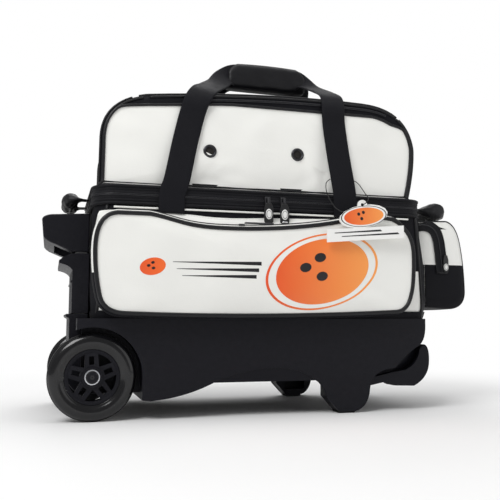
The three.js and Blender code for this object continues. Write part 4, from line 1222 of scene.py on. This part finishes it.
# ---- Grip wrap ----------------------------------------------------------------------------------
# A padded cover joins the two straps into one grip. It is two soft halves of coated nylon, each
# stitched round its own strap, bound at the edges with piping.
wrap_finish = coated(
    "padded_wrap_cloth", (0.0055, 0.0055, 0.0075), 0.45, grain, 700.0, 0.4, tone=0.3, patch=30.0, sheen_weight=0.02,
    specular_ior_level=0.28,
)
wrap_line = anticlockwise(evened(drawn(
    (-57, 560), (-57, 584), (-54, 597, -38, 603), (16, 606, 72, 602.5), (86, 597, 89, 584), (89, 560),
    (88, 557.4, 80, 557.2), (16, 556.2, -50, 557.4), (-56.5, 557.4, -57, 560),
), 180))
for side in ("front", "rear"):
    y_side = -1 if side == "front" else 1
    count = len(wrap_line)
    middle = sum(wrap_line, Vector((0, 0))) / count
    verts = []
    rows = [
        (1, 0.6), (1, 2.2), (0.985, 5.5), (0.955, 9.5), (0.90, 12.6), (0.82, 14.6), (0.7, 15.8), (0.56, 16.4),
        (0.4, 16.7), (0.24, 16.9), (0.1, 17), (0.02, 17),
    ]
    for s, deep in rows:
        for p in wrap_line:
            q = Vector((p.x - 12 * (1 - s) * ((p.x - middle.x) / 73) ** 3, middle.y + (p.y - middle.y) * s))
            rough = rough_at(q.x / 18, q.y / 12, y_side) * (1.0 if deep > 6 else 0.15)
            verts.append(at(q.x, y_side * (deep + rough), q.y))
    faces = bands(count, len(rows))
    faces.append(tuple((len(rows) - 1) * count + i for i in range(count)))
    faces.append(tuple(reversed(range(count))))
    wrap = shaped(
        f"{side}_grip_cover", verts, faces, wrap_finish, f"{side}_strap", "black_nylon", [f"{side}_grip_wrap"]
    )
    edge = edge_at(wrap_line, y_side * 9.4, 1.6)
    cordlike(f"{side}_grip_piping", edge, 1.3, piping_finish, f"{side}_strap", closed=True, sides=8)

# ---- End handles --------------------------------------------------------------------------------
# Short lifting handles at both ends: a soft rolled loop of black nylon over foam, flattened where
# its two arms are sewn into the seam beside the main zip. The cloth is slack and creased.


def arm_height(reach):
    """How tall the roll is, as a share, where `reach` is the share of its length from its nearer end."""
    return 0.12 + 0.88 * step_up(reach, 0.07, 0.24)


for end, loop, radius, z in (
    ("wheel_end",
     ((-293.6, 40), (-300, 41), (-308, 43), (-316, 42), (-321, 34), (-322, 18), (-322, 0)), 13, 337),
    ("foot_end",
     ((256.4, 62), (268, 63), (288, 64), (306, 66), (320, 64), (327, 52), (327.5, 26), (327.5, 0)), 15.5, 342),
):
    half_loop = [at(x, -y, z) for x, y in loop]
    whole = half_loop + [at(x, y, z) for x, y in reversed(loop[:-1])]
    path = evened(smooth_line(whole, 8), 110, False)
    sides, last, verts = 40, len(path) - 1, []
    for k, spot in enumerate(path):
        along = (path[min(k + 1, last)] - path[max(k - 1, 0)]).normalized()
        flat_way = along.cross(Vector((0, 0, 1))).normalized()
        reach = min(k, last - k) / last
        tall = arm_height(reach)
        wide = 0.75 + 0.25 * step_up(reach, 0.0, 0.2)
        for i in range(sides):
            a = math.tau * i / sides
            where = spot * 1000
            fold = rough_at(where.x / 17, where.y / 24, a)
            fold += 0.8 * abs(rough_at(math.cos(a) * 2.1 + 5, reach * 24, math.sin(a) * 2.1))
            r = radius * (0.93 + 0.15 * fold * step_up(reach, 0.02, 0.12))
            verts.append(spot + (flat_way * math.cos(a) * wide + Vector((0, 0, 1)) * math.sin(a) * tall) * r / 1000)
    faces = bands(sides, len(path)) + both_ends(sides, len(path))
    roll = shaped(
        f"{end}_lifting_grip", verts, faces, wrap_finish, f"{end}_handle", "black_nylon", [f"end_handle_{end}"]
    )
    seam_line = [
        spot - Vector((0, 0, 0.92 * radius * arm_height(min(k, last - k) / last) / 1000))
        for k, spot in enumerate(path)
    ]
    cordlike(f"{end}_grip_seam", seam_line[3:-3], 1.1, piping_finish, f"{end}_handle", "black_nylon", False, 8)

# ---- Zip sliders and pulls ----------------------------------------------------------------------
# Plated zinc sliders with moulded rubber tabs. Each tab has a plain white oval badge with a black
# ring, and the foot-end one has a bright keeper at its end.
soft_tab_finish = coated("tab_rubber", (0.009, 0.009, 0.01), 0.35, grain, 900.0, 0.15, tone=0.2)
badge_finish = coated("badge_enamel", (0.8, 0.8, 0.78), 0.25, grain, 700.0, 0.05, tone=0.03)
chrome_finish = coated("bright_plating", (0.75, 0.75, 0.77), 0.14, grain, 900.0, 0.03, tone=0.1, metallic=1.0)


def badge(name, x, y, z, wide, tall, body):
    """A domed oval badge with a black ring, facing the front."""
    verts = []
    outline = ellipse(x, z, wide / 2, tall / 2, 0, 40)
    for s, lift in ((1, 0), (1, 0.5), (0.9, 0.75), (0.6, 0.9), (0.3, 0.95)):
        for px, pz in outline:
            verts.append(at(x + (px - x) * s, y - lift, z + (pz - z) * s))
    verts.append(at(x, y - 0.98, z))
    shaped(name, verts, bands(40, 5) + fan(40, 5), badge_finish, body, "zip_metal")
    ring = [at(px, y - 0.7, pz) for px, pz in ellipse(x, z, wide / 2 * 0.72, tall / 2 * 0.72, 0, 40)]
    cordlike(name + "_ring", ring, 0.45, soft_tab_finish, body, "zip_metal", True, 8)


for end, x in (("wheel_end", -25), ("foot_end", 1)):
    softened(
        f"main_slider_{end}", f"main_slider_{end}_zinc", gunmetal_finish, f"{end}_slider", 0.7, 40, 2
    )
    softened(f"main_pull_{end}", f"main_pull_{end}_tab", soft_tab_finish, f"{end}_pull", 0.8, 40, 3)
    badge(f"main_badge_{end}", x, -154.4, 309.5, 10.5, 16.5, f"{end}_pull")
keeper = [at(x, -154.9, 297.8) for x in (-3.4, -1, 1, 3, 5.4)]
cordlike("pull_keeper", keeper, 1.3, chrome_finish, "foot_end_pull", "zip_metal")
for node, name, finish, body, width in (
    ("pocket_slider", "pocket_slider_zinc", gunmetal_finish, "front_pocket_slider", 1.6),
    ("pocket_pull", "pocket_pull_zinc", gunmetal_finish, "front_pocket_pull", 0.9),
    ("end_pocket_slider", "end_slider_zinc", gunmetal_finish, "side_pocket_slider", 1.0),
    ("end_pocket_pull", "end_pull_tab", soft_tab_finish, "side_pocket_pull", 0.5),
):
    softened(node, name, finish, body, width, 40, 3)
badge("end_badge", 321.5, -92.4, 239, 9, 12, "side_pocket_pull")
